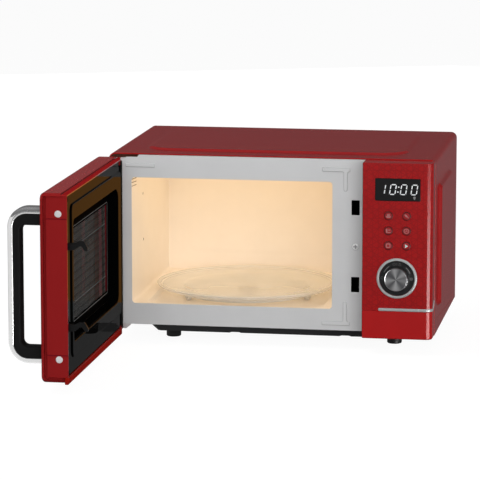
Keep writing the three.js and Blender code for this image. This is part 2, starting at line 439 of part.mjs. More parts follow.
node(door, 'door_window', prism('y', rr(30.4, 24.4, 301.6, 201.6, 9.6, 3), DOOR_Y[0] + 0.2, DOOR_Y[0] + 3.4), 0x0e0e10, 0.08, 0);
// Steel inner frame: plate with the screen opening and the choke channel's flange.
{
  let s = box(7, -17.2, 4, 326, -16, 226);
  s = cut(s, box(-5, -20, -5, 24, 0, 14), box(-5, -20, 214, 24, 0, 240));
  const outer = rr(19, 18, 316, 217, 6, 2), inner = rr(20.4, 19.4, 314.6, 215.6, 5, 2);
  s = s.add(prism('y', outer, -16.5, -6.4, [inner]));
  s = cut(s, prism('y', rr(56, 50, 288, 176, 5, 2), -20, 0));
  node(door, 'door_inner_frame', s, 0x7f8183, 0.5, 0.7);
}
node(door, 'door_screen', prism('y', rr(51, 45, 293, 181, 5, 2), -15.7, -15.1), 0x2c2c2c, 0.6, 0.3);
// Choke cover: flat border, raised frame round the window, a collar going in to the screen, slots for the hooks.
{
  const [a, b, c, d] = WIN;
  let s = box(9.5, -5.4, 1.5, 340.9, -3.0, 229.8);
  s = s.add(frustum('y', rr(12.6, 19.6, 316.8, 215.6, 9, 3), -3.4, rr(13.4, 20.4, 316, 214.8, 8.4, 3), -0.6));
  s = s.add(prism('y', rr(a - 1.6, c - 1.6, b + 1.6, d + 1.6, 7.6, 3), -14.8, -3));
  s = cut(s, frustum('y', rr(a, c, b, d, 6, 3), -0.3, rr(a + 1.2, c + 1.2, b - 1.2, d - 1.2, 5, 3), -15));
  s = cut(s, box(14.6, -5.5, 21.6, a - 3.6, -2.4, 213.6), box(b + 3.6, -5.5, 21.6, 314.8, -2.4, 213.6), box(a - 5, -5.5, 21.6, b + 5, -2.4, c - 3.6), box(a - 5, -5.5, d + 3.6, b + 5, -2.4, 213.6));
  s = cut(s, box(329.6, -8, 158, 337.6, 0, 178.4), box(329.6, -8, 56, 337.6, 0, 76.4));
  s = cut(s, box(0, -20, -5, 22, 2, 3.4), box(0, -20, 220.8, 22, 2, 240));
  node(door, 'choke_cover', s, 0x0c0c0c, 0.15, 0);
}
node(door, 'inner_film', prism('y', rr(40.2, 42.7, 303.8, 191.3, 3.5, 2), -14.6, -14.1), 0x3a3a3a, 0.1, 0);
// Latch bar with its two hooks; it rides up and is pulled down by the spring.
{
  const hook = (dz) => prism('x', [[-8, 160.4], [4, 160.4], [9, 163.6], [13, 166], [15.6, 166], [19.4, 160.2], [22.4, 160.2], [23.6, 161.6], [23.4, 164], [18.6, 172.2],
    [12.6, 172.2], [7, 169.4], [-8, 169.4]].map((q) => [q[0], q[1] + dz]), ...HOOK_X);
  const s = join(hook(0), hook(-102), box(HOOK_X[0] - 0.4, -12.4, 52, HOOK_X[1] + 0.4, -6.2, 180), box(HOOK_X[0] + 1.4, -10.4, 179, HOOK_X[1] - 1.4, -8.4, 186));
  node(door, 'latch_bar', s, 0x131313, 0.45, 0);
}
// Latch spring, between the bar and the seat above it.
{
  class Helix extends THREE.Curve {
    getPoint(t, out = new THREE.Vector3()) {
      const a = t * 2 * Math.PI * 5;
      return out.set(333.6 + 2.6 * Math.cos(a), -9.4 + 2.6 * Math.sin(a), 187.6 + 18.6 * t);
    }
  }
  const g = new THREE.ExtrudeGeometry(new THREE.Shape(ring2(0, 0, 0.5, 5).map((q) => new THREE.Vector2(...q))), { steps: 35, bevelEnabled: false, extrudePath: new Helix() });
  node(door, 'latch_spring', solid(g), 0xaeb0b2, 0.35, 0.9);
}
// Screw caps in the free edge.
for (const [name, z] of [['screw_cap_upper', 206.5], ['screw_cap_lower', 23.5]]) {
  node(door, name, turned('x', [[0, 342.3], [4.4, 342.3], [4.4, 342.9], [3.8, 343.4], [0, 343.5]], 20, -12.2, z), 0xe9e9e9, 0.4, 0);
}
// Handle: bright outer bow and dark inner grip, side by side.
{
  const bow = (o, zLow, zHigh, R, y1) => {
    const out = [[y1, zHigh]];
    const corner = (cy, cz, a0) => { for (let k = 0; k <= 5; k++) { const a = (a0 + 18 * k) * Math.PI / 180; out.push([cy + R * Math.cos(a), cz + R * Math.sin(a)]); } };
    corner(o + R, zHigh - R, 90);
    corner(o + R, zLow + R, 180);
    out.push([y1, zLow]);
    return out;
  };
  const y1 = DOOR_Y[0] - GAP, [x0, x1] = HANDLE_X, [zl, zh] = HANDLE_Z;
  const shell = (outer, inner) => prism('x', [...outer, ...inner.reverse()], x0, x1);
  node(door, 'handle_bow', shell(bow(HANDLE_Y, zl, zh, 26, y1), bow(HANDLE_Y + 7, zl + 7, zh - 7, 19, y1)), 0xcfd1d3, 0.18, 0.95);
  node(door, 'handle_grip', shell(bow(HANDLE_Y + 7.3, zl + 7.3, zh - 7.3, 18.7, y1), bow(HANDLE_Y + 15, zl + 21.5, zh - 21.5, 6, y1)), 0x151515, 0.45, 0);
}

export default oven;
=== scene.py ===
import json
import math

import bmesh
import bpy
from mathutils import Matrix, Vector
from mathutils.geometry import tessellate_polygon

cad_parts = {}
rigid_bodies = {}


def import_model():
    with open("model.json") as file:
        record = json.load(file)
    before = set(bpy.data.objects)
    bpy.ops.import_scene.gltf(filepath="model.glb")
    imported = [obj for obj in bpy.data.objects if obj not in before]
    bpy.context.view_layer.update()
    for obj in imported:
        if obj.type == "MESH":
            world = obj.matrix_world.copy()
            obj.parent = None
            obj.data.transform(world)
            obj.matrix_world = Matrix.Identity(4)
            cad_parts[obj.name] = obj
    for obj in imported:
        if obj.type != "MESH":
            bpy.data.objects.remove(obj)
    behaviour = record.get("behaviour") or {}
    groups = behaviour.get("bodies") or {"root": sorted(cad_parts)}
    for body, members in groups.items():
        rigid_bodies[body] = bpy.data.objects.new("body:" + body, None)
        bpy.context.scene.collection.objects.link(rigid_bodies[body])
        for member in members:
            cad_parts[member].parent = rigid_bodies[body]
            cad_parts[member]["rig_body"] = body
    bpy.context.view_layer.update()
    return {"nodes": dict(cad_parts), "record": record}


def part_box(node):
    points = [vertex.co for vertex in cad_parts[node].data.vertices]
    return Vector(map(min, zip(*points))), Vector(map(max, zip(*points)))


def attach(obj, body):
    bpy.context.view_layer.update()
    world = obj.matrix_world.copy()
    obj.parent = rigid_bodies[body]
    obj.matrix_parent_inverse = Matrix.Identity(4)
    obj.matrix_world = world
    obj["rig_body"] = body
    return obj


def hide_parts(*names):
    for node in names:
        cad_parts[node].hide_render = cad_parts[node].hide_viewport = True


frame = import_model()
nodes = frame["nodes"]
scene = bpy.context.scene

# ------------------------------------------------------------------ places
# Pieces are drawn in millimetres in the cabinet's own frame (x from its left side, y from the
# front plate's face, z from the panel's lower edge); the CAD says where that frame lies.
_lo, _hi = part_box("rear_panel")
ORIGIN = Vector(((_lo.x + _hi.x) / 2 - 0.220, _lo.y - 0.2856, _lo.z - 0.001))


def cab(p):
    return Vector((p[0] / 1000, p[1] / 1000, p[2] / 1000)) + ORIGIN


def dor(p):
    """Door pieces are drawn as the door stands closed; at rest it stands open by 90 degrees."""
    return cab((p[1] + 20.6, -2.8 - p[0], p[2]))


W, D, ZT = 440.0, 288.9, 236.0
CAV_X, CAV_Y, CAV_Z, SINK = (27.6, 305.4), (1.5, 281.0), (30.5, 206.0), 24.0
TRAY = (166.5, 133.6)
PX, PY, PT, SEAM = (346.6, 439.8), -32.0, 234.6, 37.5
DISP = (363.5, 423.0, 185.0, 214.5)
BTN_X, BTN_Z = (381.2, 405.1), (165.0, 145.1, 125.3)
DIAL = (393.1, 81.9)
DX, DY, DZ = (1.2, 345.3), (-35.4, -0.6), (-6.3, 232.0)
WIN = (37.5, 306.5, 40.0, 194.0)
SLOTS = ((159.9, 179.1), (56.1, 75.8))


# ------------------------------------------------------------------ shapes
def rr(x0, y0, x1, y1, r, n=6):
    R = r if isinstance(r, (list, tuple)) else (r,) * 4
    out = []
    for cx, cy, a, q in (
        (x0 + R[0], y0 + R[0], 180, R[0]),
        (x1 - R[1], y0 + R[1], 270, R[1]),
        (x1 - R[2], y1 - R[2], 0, R[2]),
        (x0 + R[3], y1 - R[3], 90, R[3]),
    ):
        for k in range(n + 1):
            t = math.radians(a + 90 * k / n)
            out.append((cx + q * math.cos(t), cy + q * math.sin(t)))
    return out


def circle(cx, cy, r, n=32):
    return [(cx + r * math.cos(2 * math.pi * k / n), cy + r * math.sin(2 * math.pi * k / n)) for k in range(n)]


def lift(axis, pts, h):
    if axis == "z":
        return [(a, b, h) for a, b in pts]
    if axis == "y":
        return [(a, h, b) for a, b in pts]
    return [(h, a, b) for a, b in pts]


def stack(rings, caps=True, loop=False):
    n, m = len(rings[0]), len(rings)
    V = [p for r in rings for p in r]
    F = []
    for k in range(m if loop else m - 1):
        for i in range(n):
            a, b = k * n + i, k * n + (i + 1) % n
            c, d = ((k + 1) % m) * n + (i + 1) % n, ((k + 1) % m) * n + i
            F.append((a, b, c, d))
    if caps and not loop:
        F.append(tuple(range(n - 1, -1, -1)))
        F.append(tuple((m - 1) * n + i for i in range(n)))
    return V, F


def edges(h0, h1, e0, e1, n=3):
    """(inset, height) pairs of a wall from h0 to h1 with rounded edges e0 and e1."""
    s = 1 if h1 > h0 else -1
    turn = [math.pi / 2 * k / n for k in range(n + 1)]
    out = [(e0 * (1 - math.sin(t)), h0 + s * e0 * (1 - math.cos(t))) for t in turn] if e0 else [(0, h0)]
    out += [(e1 * (1 - math.cos(t)), h1 - s * e1 * (1 - math.sin(t))) for t in turn] if e1 else [(0, h1)]
    return out


def rbox(axis, x0, y0, x1, y1, r, h0, h1, e0=0.0, e1=0.3, n=6, m=3):
    return stack([lift(axis, rr(x0 + i, y0 + i, x1 - i, y1 - i, max(r - i, 0.04), n), h) for i, h in edges(h0, h1, e0, e1, m)])


def box(x0, y0, z0, x1, y1, z1):
    return stack([[(x0, y0, z0), (x1, y0, z0), (x1, y1, z0), (x0, y1, z0)], [(x0, y0, z1), (x1, y0, z1), (x1, y1, z1), (x0, y1, z1)]])


def prism(axis, outline, h0, h1):
    return stack([lift(axis, outline, h0), lift(axis, outline, h1)])


def field(axis, x0, y0, x1, y1, r, base, rise, slope, sink=0.3, n=8, m=8):
    """Pressed field with a soft S-shaped slope, standing on a face at height base."""
    s = 1 if rise > 0 else -1
    rings = [lift(axis, rr(x0, y0, x1, y1, r, n), base - s * sink), lift(axis, rr(x0, y0, x1, y1, r, n), base)]
    for k in range(1, m + 1):
        i, h = slope * k / m, base + rise * (0.5 - 0.5 * math.cos(math.pi * k / m))
        rings.append(lift(axis, rr(x0 + i, y0 + i, x1 - i, y1 - i, max(r - i, 0.05), n), h))
    return stack(rings)


def lathe(profile, seg, axis, c1, c2, wave=None):
    """Turned shape; profile of (radius, height); wave(angle) scales the radius of knurled points (radius, height, 1)."""
    closed = profile[0] == profile[-1]
    pts = profile[:-1] if closed else profile
    rings = []
    for q in pts:
        ring = []
        for k in range(seg):
            t = 2 * math.pi * k / seg
            r = q[0] + (wave(t) if wave and len(q) > 2 else 0)
            a, b = r * math.cos(t), r * math.sin(t)
            ring.append((c1 + a, c2 + b, q[1]) if axis == "z" else (c1 + a, q[1], c2 + b) if axis == "y" else (q[1], c1 + a, c2 + b))
        rings.append(ring)
    return stack(rings, caps=False, loop=closed)


def ccw(loop):
    area = sum(loop[i - 1][0] * loop[i][1] - loop[i][0] * loop[i - 1][1] for i in range(len(loop)))
    return list(loop) if area > 0 else list(reversed(loop))


def clean(loop):
    out = []
    for p in loop:
        if not out or (abs(p[0] - out[-1][0]) + abs(p[1] - out[-1][1])) > 1e-4:
            out.append(p)
    if abs(out[0][0] - out[-1][0]) + abs(out[0][1] - out[-1][1]) < 1e-4:
        out.pop()
    return out


def offset(loop, d):
    """Moves a counter-clockwise loop inwards by d."""
    n, out = len(loop), []
    for i in range(n):
        p, q, r = Vector(loop[i - 1]), Vector(loop[i]), Vector(loop[(i + 1) % n])
        a, b = (q - p).normalized(), (r - q).normalized()
        na, nb = Vector((-a.y, a.x)), Vector((-b.y, b.x))
        m = na + nb
        m = m.normalized() if m.length > 1e-6 else na
        k = d / max(m.dot(na), 0.35)
        out.append((q.x + m.x * k, q.y + m.y * k))
    return out


def plate(axis, outline, holes, h0, h1, e0=0.0, e1=0.25, n=2):
    """Flat piece with holes, its edges rounded by e0 at h0 and e1 at h1."""
    loops = [(ccw(clean(outline)), 1)] + [(ccw(clean(h)), -1) for h in holes]
    V, F, first, last = [], [], [], []
    prof = edges(h0, h1, e0, e1, n)
    for loop, sgn in loops:
        rings = [lift(axis, offset(loop, sgn * i) if i else loop, h) for i, h in prof]
        v, f = stack(rings, caps=False)
        b, c = len(V), len(loop)
        V += v
        F += [tuple(b + i for i in q) for q in f]
        first += [b + i for i in range(c)]
        last += [b + (len(prof) - 1) * c + i for i in range(c)]
    for ids, i in ((first, prof[0][0]), (last, prof[-1][0])):
        polys = [[Vector((x, y, 0)) for x, y in (offset(loop, sgn * i) if i else loop)] for loop, sgn in loops]
        F += [tuple(ids[k] for k in t) for t in tessellate_polygon(polys)]
    return V, F


def sweep(path, section, ends=True):
    """Section of (side, out) points carried along path of (point, side vector, out vector)."""
    rings = []
    for p, s, o in path:
        rings.append([tuple(Vector(p) + Vector(s) * a + Vector(o) * b) for a, b in section])
    return stack(rings, caps=ends)


def both(*parts):
    V, F = [], []
    for v, f in parts:
        b = len(V)
        V += v
        F += [tuple(b + i for i in q) for q in f]
    return V, F


def raw(name, geo, place):
    me = bpy.data.meshes.new(name)
    me.from_pydata([place(p) for p in geo[0]], [], geo[1])
    bm = bmesh.new()
    bm.from_mesh(me)
    bmesh.ops.remove_doubles(bm, verts=bm.verts, dist=4e-6)
    bmesh.ops.dissolve_degenerate(bm, edges=bm.edges, dist=1e-7)
    bmesh.ops.recalc_face_normals(bm, faces=bm.faces)
    bm.to_mesh(me)
    bm.free()
    o = bpy.data.objects.new(name, me)
    scene.collection.objects.link(o)
    return o


def carve(o, place, minus=(), plus=()):
    """Exact booleans: plus shapes are joined on, then minus shapes are cut away."""
    tools = []
    for op, group in (("UNION", plus), ("DIFFERENCE", minus)):
        for g in group:
            t = raw("tool", g, place)
            tools.append(t)
            m = o.modifiers.new("b", "BOOLEAN")
            m.object, m.operation, m.solver = t, op, "EXACT"
    bpy.context.view_layer.update()
    me = bpy.data.meshes.new_from_object(o.evaluated_get(bpy.context.evaluated_depsgraph_get()))
    o.modifiers.clear()
    old = o.data
    o.data = me
    me.name = o.name
    bpy.data.meshes.remove(old)
    for t in tools:
        mesh = t.data
        bpy.data.objects.remove(t)
        bpy.data.meshes.remove(mesh)
    bm = bmesh.new()
    bm.from_mesh(me)
    bmesh.ops.remove_doubles(bm, verts=bm.verts, dist=2e-6)
    bmesh.ops.dissolve_degenerate(bm, edges=bm.edges, dist=1e-7)
    bm.to_mesh(me)
    bm.free()
    return o


def soften(o, width, segments=2, angle=40):
    m = o.modifiers.new("edges", "BEVEL")
    m.width, m.segments, m.limit_method, m.angle_limit = width / 1000, segments, "ANGLE", math.radians(angle)
    m.use_clamp_overlap = True
    m.miter_outer = "MITER_ARC"
    return o


def shade(o, angle=38, weighted=True):
    me = o.data
    me.shade_smooth()
    me.set_sharp_from_angle(angle=math.radians(angle))
    if weighted:
        m = o.modifiers.new("normals", "WEIGHTED_NORMAL")
        m.keep_sharp = True
        m.weight = 60
    return o


def dress(o, body, mats, replaces=(), uv=None):
    me = o.data
    me.materials.clear()
    for m in mats if isinstance(mats, (list, tuple)) else [mats]:
        me.materials.append(m)
    if uv:
        layer = me.uv_layers.new(name="UVMap")
        for loop in me.loops:
            layer.data[loop.index].uv = uv(me.vertices[loop.vertex_index].co)
    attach(o, body)
    if replaces:
        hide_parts(*replaces)
    return o


def paint_part(o, mat, test):
    """Second finish on the faces picked by test(middle in cabinet mm, normal)."""
    o.data.materials.append(mat)
    for p in o.data.polygons:
        if test((p.center - ORIGIN) * 1000, p.normal):
            p.material_index = len(o.data.materials) - 1


def make(name, geo, body, mats, replaces=(), place=None, angle=38, minus=(), plus=(), bevel=None, uv=None, weighted=True):
    place = place or (dor if body in ("door", "latch") else cab)
    o = raw(name, geo, place)
    if minus or plus:
        carve(o, place, minus, plus)
    if bevel:
        soften(o, *bevel)
        bpy.context.view_layer.update()
        me = bpy.data.meshes.new_from_object(o.evaluated_get(bpy.context.evaluated_depsgraph_get()))
        o.modifiers.clear()
        old, o.data = o.data, me
        me.name = name
        bpy.data.meshes.remove(old)
    shade(o, angle, weighted)
    return dress(o, body, mats, replaces, uv)


# ------------------------------------------------------------------ materials
def _link(t, a, b):
    t.links.new(a, b)


def finish(
    name,
    color,
    rough,
    metal=0.0,
    spec=0.5,
    tone=0.05,
    tone_scale=30,
    grain=700,
    bump=0.06,
    rvar=0.06,
    stretch=(1, 1, 1),
    coat=0.0,
    coat_rough=0.05,
    ior=1.5,
    alpha=None,
    emit=None,
    emit_strength=0.0,
    tint=None,
    anisotropic=0.0,
):
    """Painted, moulded or metal surface: slight drift of tone, its own grain as bump, uneven gloss."""
    m = bpy.data.materials.new(name)
    m.use_nodes = True
    t = m.node_tree
    p = t.nodes["Principled BSDF"]
    p.inputs["Metallic"].default_value = metal
    p.inputs["IOR"].default_value = ior
    p.inputs["Specular IOR Level"].default_value = spec
    p.inputs["Coat Weight"].default_value = coat
    p.inputs["Coat Roughness"].default_value = coat_rough
    p.inputs["Anisotropic"].default_value = anisotropic
    if emit:
        p.inputs["Emission Color"].default_value = (*emit, 1)
        p.inputs["Emission Strength"].default_value = emit_strength
    if alpha is not None:
        p.inputs["Alpha"].default_value = alpha
    co = t.nodes.new("ShaderNodeTexCoord")
    mp = t.nodes.new("ShaderNodeMapping")
    mp.inputs["Scale"].default_value = stretch
    _link(t, co.outputs["Object"], mp.inputs["Vector"])
    # drift of tone
    n1 = t.nodes.new("ShaderNodeTexNoise")
    n1.inputs["Scale"].default_value = tone_scale
    n1.inputs["Detail"].default_value = 3
    _link(t, mp.outputs["Vector"], n1.inputs["Vector"])
    r1 = t.nodes.new("ShaderNodeValToRGB")
    r1.color_ramp.elements[0].position, r1.color_ramp.elements[1].position = 0.3, 0.7
    low = tint or tuple(c * (1 - tone) for c in color)
    r1.color_ramp.elements[0].color = (*low, 1)
    r1.color_ramp.elements[1].color = (*[min(1, c * (1 + tone)) for c in color], 1)
    _link(t, n1.outputs["Fac"], r1.inputs["Fac"])
    _link(t, r1.outputs["Color"], p.inputs["Base Color"])
    # grain
    n2 = t.nodes.new("ShaderNodeTexNoise")
    n2.inputs["Scale"].default_value = grain
    n2.inputs["Detail"].default_value = 2
    _link(t, mp.outputs["Vector"], n2.inputs["Vector"])
    b = t.nodes.new("ShaderNodeBump")
    b.inputs["Strength"].default_value = bump
    b.inputs["Distance"].default_value = 0.0004
    _link(t, n2.outputs["Fac"], b.inputs["Height"])
    _link(t, b.outputs["Normal"], p.inputs["Normal"])
    # uneven gloss
    n3 = t.nodes.new("ShaderNodeTexNoise")
    n3.inputs["Scale"].default_value = tone_scale * 2.7
    n3.inputs["Detail"].default_value = 4
    _link(t, mp.outputs["Vector"], n3.inputs["Vector"])
    r3 = t.nodes.new("ShaderNodeMapRange")
    r3.inputs["To Min"].default_value = max(0.01, rough - rvar)
    r3.inputs["To Max"].default_value = min(1, rough + rvar)
    _link(t, n3.outputs["Fac"], r3.inputs["Value"])
    _link(t, r3.outputs["Result"], p.inputs["Roughness"])
    m["ramp"] = r1.name
    return m


def math_node(t, op, a, b=None, c=None):
    n = t.nodes.new("ShaderNodeMath")
    n.operation = op
    for i, v in enumerate((a, b, c)):
        if v is None:
            continue
        if isinstance(v, (int, float)):
            n.inputs[i].default_value = v
        else:
            t.links.new(v, n.inputs[i])
    return n.outputs[0]


def lined(m, families, width, dark, strength=1.0):
    """Darkens the paint along families of parallel straight lines (angle, spacing, shift), in UV millimetres."""
    t = m.node_tree
    p = t.nodes["Principled BSDF"]
    uv = t.nodes.new("ShaderNodeUVMap")
    uv.uv_map = "UVMap"
    sep = t.nodes.new("ShaderNodeSeparateXYZ")
    _link(t, uv.outputs["UV"], sep.inputs["Vector"])
    u, v = sep.outputs["X"], sep.outputs["Y"]
    total = None
    for angle, space, shift in families:
        a = math.radians(angle)
        s = math_node(t, "ADD", math_node(t, "MULTIPLY", u, -math.sin(a)), math_node(t, "MULTIPLY", v, math.cos(a)))
        q = math_node(t, "FRACT", math_node(t, "ADD", math_node(t, "DIVIDE", s, space), shift + 1000.0))
        d = math_node(t, "MULTIPLY", math_node(t, "ABSOLUTE", math_node(t, "SUBTRACT", q, 0.5)), space)
        r = t.nodes.new("ShaderNodeMapRange")
        r.interpolation_type = "SMOOTHSTEP"
        r.inputs["From Min"].default_value = width * 0.25
        r.inputs["From Max"].default_value = width * 0.75
        r.inputs["To Min"].default_value = 1
        r.inputs["To Max"].default_value = 0
        _link(t, d, r.inputs["Value"])
        total = r.outputs["Result"] if total is None else math_node(t, "MAXIMUM", total, r.outputs["Result"])
    old = p.inputs["Base Color"].links[0].from_socket
    mix = t.nodes.new("ShaderNodeMix")
    mix.data_type = "RGBA"
    mix.inputs["B"].default_value = (*dark, 1)
    f = math_node(t, "MULTIPLY", total, strength)
    _link(t, f, mix.inputs["Factor"])
    _link(t, old, mix.inputs["A"])
    _link(t, mix.outputs["Result"], p.inputs["Base Color"])
    return m


RED = (0.408, 0.0078, 0.0086)
M = {}
M["red_paint"] = finish("red_paint", (0.375, 0.0085, 0.0095), 0.24, spec=0.5, grain=1300, bump=0.015, tone=0.02, rvar=0.02)
M["red_plastic"] = finish("red_plastic", (0.465, 0.0088, 0.0096), 0.22, spec=0.40, grain=900, bump=0.02, tone=0.03, rvar=0.04)
M["red_door"] = finish("red_door", (0.298, 0.0150, 0.0158), 0.26, spec=0.5, ior=1.02, grain=900, bump=0.008, tone=0.02, rvar=0.04, coat_rough=0.22)
M["red_matte"] = finish("red_matte", (0.30, 0.0105, 0.0062), 0.5, spec=0.5, ior=1.02, grain=900, bump=0.008, tone=0.02)
M["red_film"] = finish("red_film", RED, 0.19, spec=0.40, grain=900, bump=0.015, tone=0.03, rvar=0.04)
lined(
    M["red_film"],
    [(30, 7.4, 0.5), (90, 7.4, 0.1), (150, 7.4, 0.85), (0, 12.8, 0.3), (60, 12.8, 0.7), (120, 12.8, 0.2)],
    0.8,
    (0.19, 0.006, 0.008),
    0.52,
)
M["black_paint"] = finish("black_paint", (0.011, 0.011, 0.012), 0.42, grain=1100, bump=0.10, tone=0.12)
M["galvanised"] = finish("galvanised", (0.50, 0.51, 0.53), 0.38, metal=0.9, tone=0.18, tone_scale=120, grain=300, bump=0.05, rvar=0.12)
M["grey_paint"] = finish("grey_paint", (0.72, 0.725, 0.73), 0.42, spec=0.4, grain=1500, bump=0.06, tone=0.015)
# the cavity enamel glows faintly warm: painted light that brightens the cavity beyond the oven lamp
M["cavity_enamel"] = finish("cavity_enamel", (0.86, 0.785, 0.69), 0.36, spec=0.4, grain=1500, bump=0.05, tone=0.015, emit=(1.0, 0.77, 0.52), emit_strength=0.074)
M["mica"] = finish("mica", (0.55, 0.50, 0.40), 0.35, tone=0.15, tone_scale=200, grain=500, bump=0.08)
M["magnetron_metal"] = finish("magnetron_metal", (0.55, 0.56, 0.57), 0.32, metal=0.95, tone=0.08, grain=200, bump=0.05, stretch=(1, 1, 6))
M["transformer_iron"] = finish("transformer_iron", (0.16, 0.12, 0.09), 0.5, metal=0.5, tone=0.2, grain=300, bump=0.2, stretch=(1, 8, 1))
M["capacitor_can"] = finish("capacitor_can", (0.60, 0.61, 0.62), 0.28, metal=0.95, tone=0.05, grain=300, bump=0.04)
M["motor_iron"] = finish("motor_iron", (0.22, 0.20, 0.18), 0.45, metal=0.7, tone=0.15, grain=400, bump=0.1)
M["black_plastic"] = finish("black_plastic", (0.014, 0.014, 0.015), 0.48, grain=1400, bump=0.18, tone=0.1)
M["white_plastic"] = finish("white_plastic", (0.72, 0.70, 0.66), 0.42, grain=1200, bump=0.06, tone=0.03)
M["lamp_glass"] = finish("lamp_glass", (0.9, 0.82, 0.62), 0.12, tone=0.03, emit=(1.0, 0.72, 0.36), emit_strength=0.05)
M["bright_screw"] = finish("bright_screw", (0.62, 0.63, 0.65), 0.26, metal=0.9, tone=0.06, grain=900, bump=0.05)
M["plate_head"] = finish("plate_head", (0.97, 0.975, 0.97), 0.34, metal=0.1, tone=0.05, grain=900, bump=0.05)
M["hinge_steel"] = finish("hinge_steel", (0.74, 0.70, 0.70), 0.34, metal=0.25, tone=0.08, grain=900, bump=0.06)
M["foot_rubber"] = finish("foot_rubber", (0.012, 0.012, 0.012), 0.55, grain=1600, bump=0.25, tone=0.15, spec=0.4)
M["display_black"] = finish("display_black", (0.0135, 0.0135, 0.0140), 0.12, spec=0.4, tone=0.02, bump=0.01, rvar=0.02)
M["circuit_board"] = finish("circuit_board", (0.03, 0.16, 0.06), 0.45, tone=0.25, tone_scale=300, grain=900, bump=0.2)
M["satin_silver"] = finish("satin_silver", (0.50, 0.525, 0.525), 0.36, metal=0.15, tone=0.03, grain=1800, bump=0.05)
M["dial_black"] = finish("dial_black", (0.0125, 0.0125, 0.0128), 0.35, grain=1500, bump=0.08, tone=0.06)
M["bright_trim"] = finish("bright_trim", (0.52, 0.555, 0.555), 0.26, metal=0.25, tone=0.02, grain=900, bump=0.02)
M["spun_aluminium"] = finish("spun_aluminium", (0.62, 0.62, 0.63), 0.30, metal=1.0, tone=0.03, grain=900, bump=0.03)
M["red_button"] = finish("red_button", (0.37, 0.0085, 0.0095), 0.30, grain=1200, bump=0.03, tone=0.03)
M["gloss_black"] = finish("gloss_black", (0.0016, 0.0016, 0.0016), 0.5, spec=0.0, coat=0.20, coat_rough=0.01, tone=0.05, bump=0.004, grain=60)
M["hook_black"] = finish("hook_black", (0.0085, 0.0085, 0.0088), 0.5, spec=0.12, grain=1300, bump=0.12, tone=0.1)
M["spring_steel"] = finish("spring_steel", (0.5, 0.5, 0.52), 0.3, metal=1.0, tone=0.1)
M["cap_white"] = finish("cap_white", (0.74, 0.74, 0.74), 0.40, grain=1200, bump=0.05, tone=0.03)
M["handle_chrome"] = finish("handle_chrome", (0.88, 0.88, 0.88), 0.13, metal=0.88, tone=0.015, grain=900, bump=0.004, rvar=0.02)
M["grip_black"] = finish("grip_black", (0.0105, 0.0105, 0.0107), 0.5, ior=1.12, spec=0.5, grain=1500, bump=0.12, tone=0.1)
M["screen_steel"] = finish("screen_steel", (0.078, 0.078, 0.077), 0.6, metal=0.0, ior=1.01, spec=0.5, grain=900, bump=0.05, tone=0.1)
M["door_steel"] = finish("door_steel", (0.006, 0.006, 0.006), 0.5, metal=0.0, spec=0.05, grain=900, bump=0.06, tone=0.1)
M["door_glass"] = finish("door_glass", (0.004, 0.004, 0.005), 0.06, spec=0.5, tone=0.02, bump=0.002, grain=40, alpha=0.80)
M["clear_film"] = finish("clear_film", (0.02, 0.02, 0.02), 0.10, ior=1.03, spec=0.5, tone=0.03, bump=0.006, grain=60, alpha=0.08)
# flat black for print, also put where there is only shade as painted shade
M["print_and_shade_black"] = finish("print_and_shade_black", (0.0012, 0.0012, 0.0012), 0.5, ior=1.01, spec=0.5, tone=0.05, bump=0.004, grain=60)
M["bead_grey"] = finish("bead_grey", (0.16, 0.16, 0.16), 0.5, ior=1.02, spec=0.5, tone=0.05, grain=900, bump=0.02)
M["rim_shade_red"] = finish("rim_shade_red", (0.16, 0.006, 0.012), 0.5, ior=1.02, spec=0.5, tone=0.05, grain=900, bump=0.02)
M["rim_lit_pink"] = finish("rim_lit_pink", (0.80, 0.16, 0.19), 0.5, ior=1.02, spec=0.5, tone=0.05, grain=900, bump=0.02)
M["skirt_black"] = finish("skirt_black", (0.017, 0.016, 0.015), 0.5, ior=1.02, spec=0.5, tone=0.05, bump=0.004, grain=60)
M["red_door_lip_lit"] = finish("red_door_lip_lit", (0.34, 0.0110, 0.0120), 0.5, spec=0.5, ior=1.02, grain=900, bump=0.008, tone=0.02)
M["red_door_top_lit"] = finish("red_door_top_lit", (0.47, 0.0130, 0.0140), 0.26, spec=0.5, ior=1.02, grain=900, bump=0.008, tone=0.02, rvar=0.04, coat_rough=0.22)
M["rib_shade"] = finish("rib_shade", (0.40, 0.40, 0.405), 0.42, spec=0.4, grain=1500, bump=0.06, tone=0.015)
M["rib_wall_pale_shade"] = finish("rib_wall_pale_shade", (0.55, 0.55, 0.555), 0.42, spec=0.4, grain=1500, bump=0.06, tone=0.015)
M["screw_shade"] = finish("screw_shade", (0.26, 0.26, 0.265), 0.45, spec=0.4, grain=1500, bump=0.06, tone=0.02)
M["panel_side_shade"] = finish("panel_side_shade", (0.040, 0.0030, 0.0034), 0.5, spec=0.2, grain=1200, bump=0.03, tone=0.03)
M["slot_back_shade"] = finish("slot_back_shade", (0.30, 0.23, 0.15), 0.5, spec=0.3, grain=1200, bump=0.05, tone=0.03)
M["gap_shade_ring"] = finish("gap_shade_ring", (0.055, 0.004, 0.005), 0.4, grain=1200, bump=0.03, tone=0.05)
M["pale_print"] = finish("pale_print", (0.46, 0.205, 0.205), 0.45, grain=1200, bump=0.03, tone=0.05)
M["play_print"] = finish("play_print", (0.62, 0.80, 0.80), 0.45, grain=1200, bump=0.03, tone=0.03)
M["grey_print"] = finish("grey_print", (0.085, 0.085, 0.085), 0.5, grain=1200, bump=0.03, tone=0.08)
M["light_print"] = finish("light_print", (0.22, 0.22, 0.22), 0.5, grain=1200, bump=0.03, tone=0.08)
M["lit_digit"] = finish("lit_digit", (0.85, 0.87, 0.88), 0.4, tone=0.03, bump=0.01, emit=(0.9, 0.95, 1.0), emit_strength=0.12)


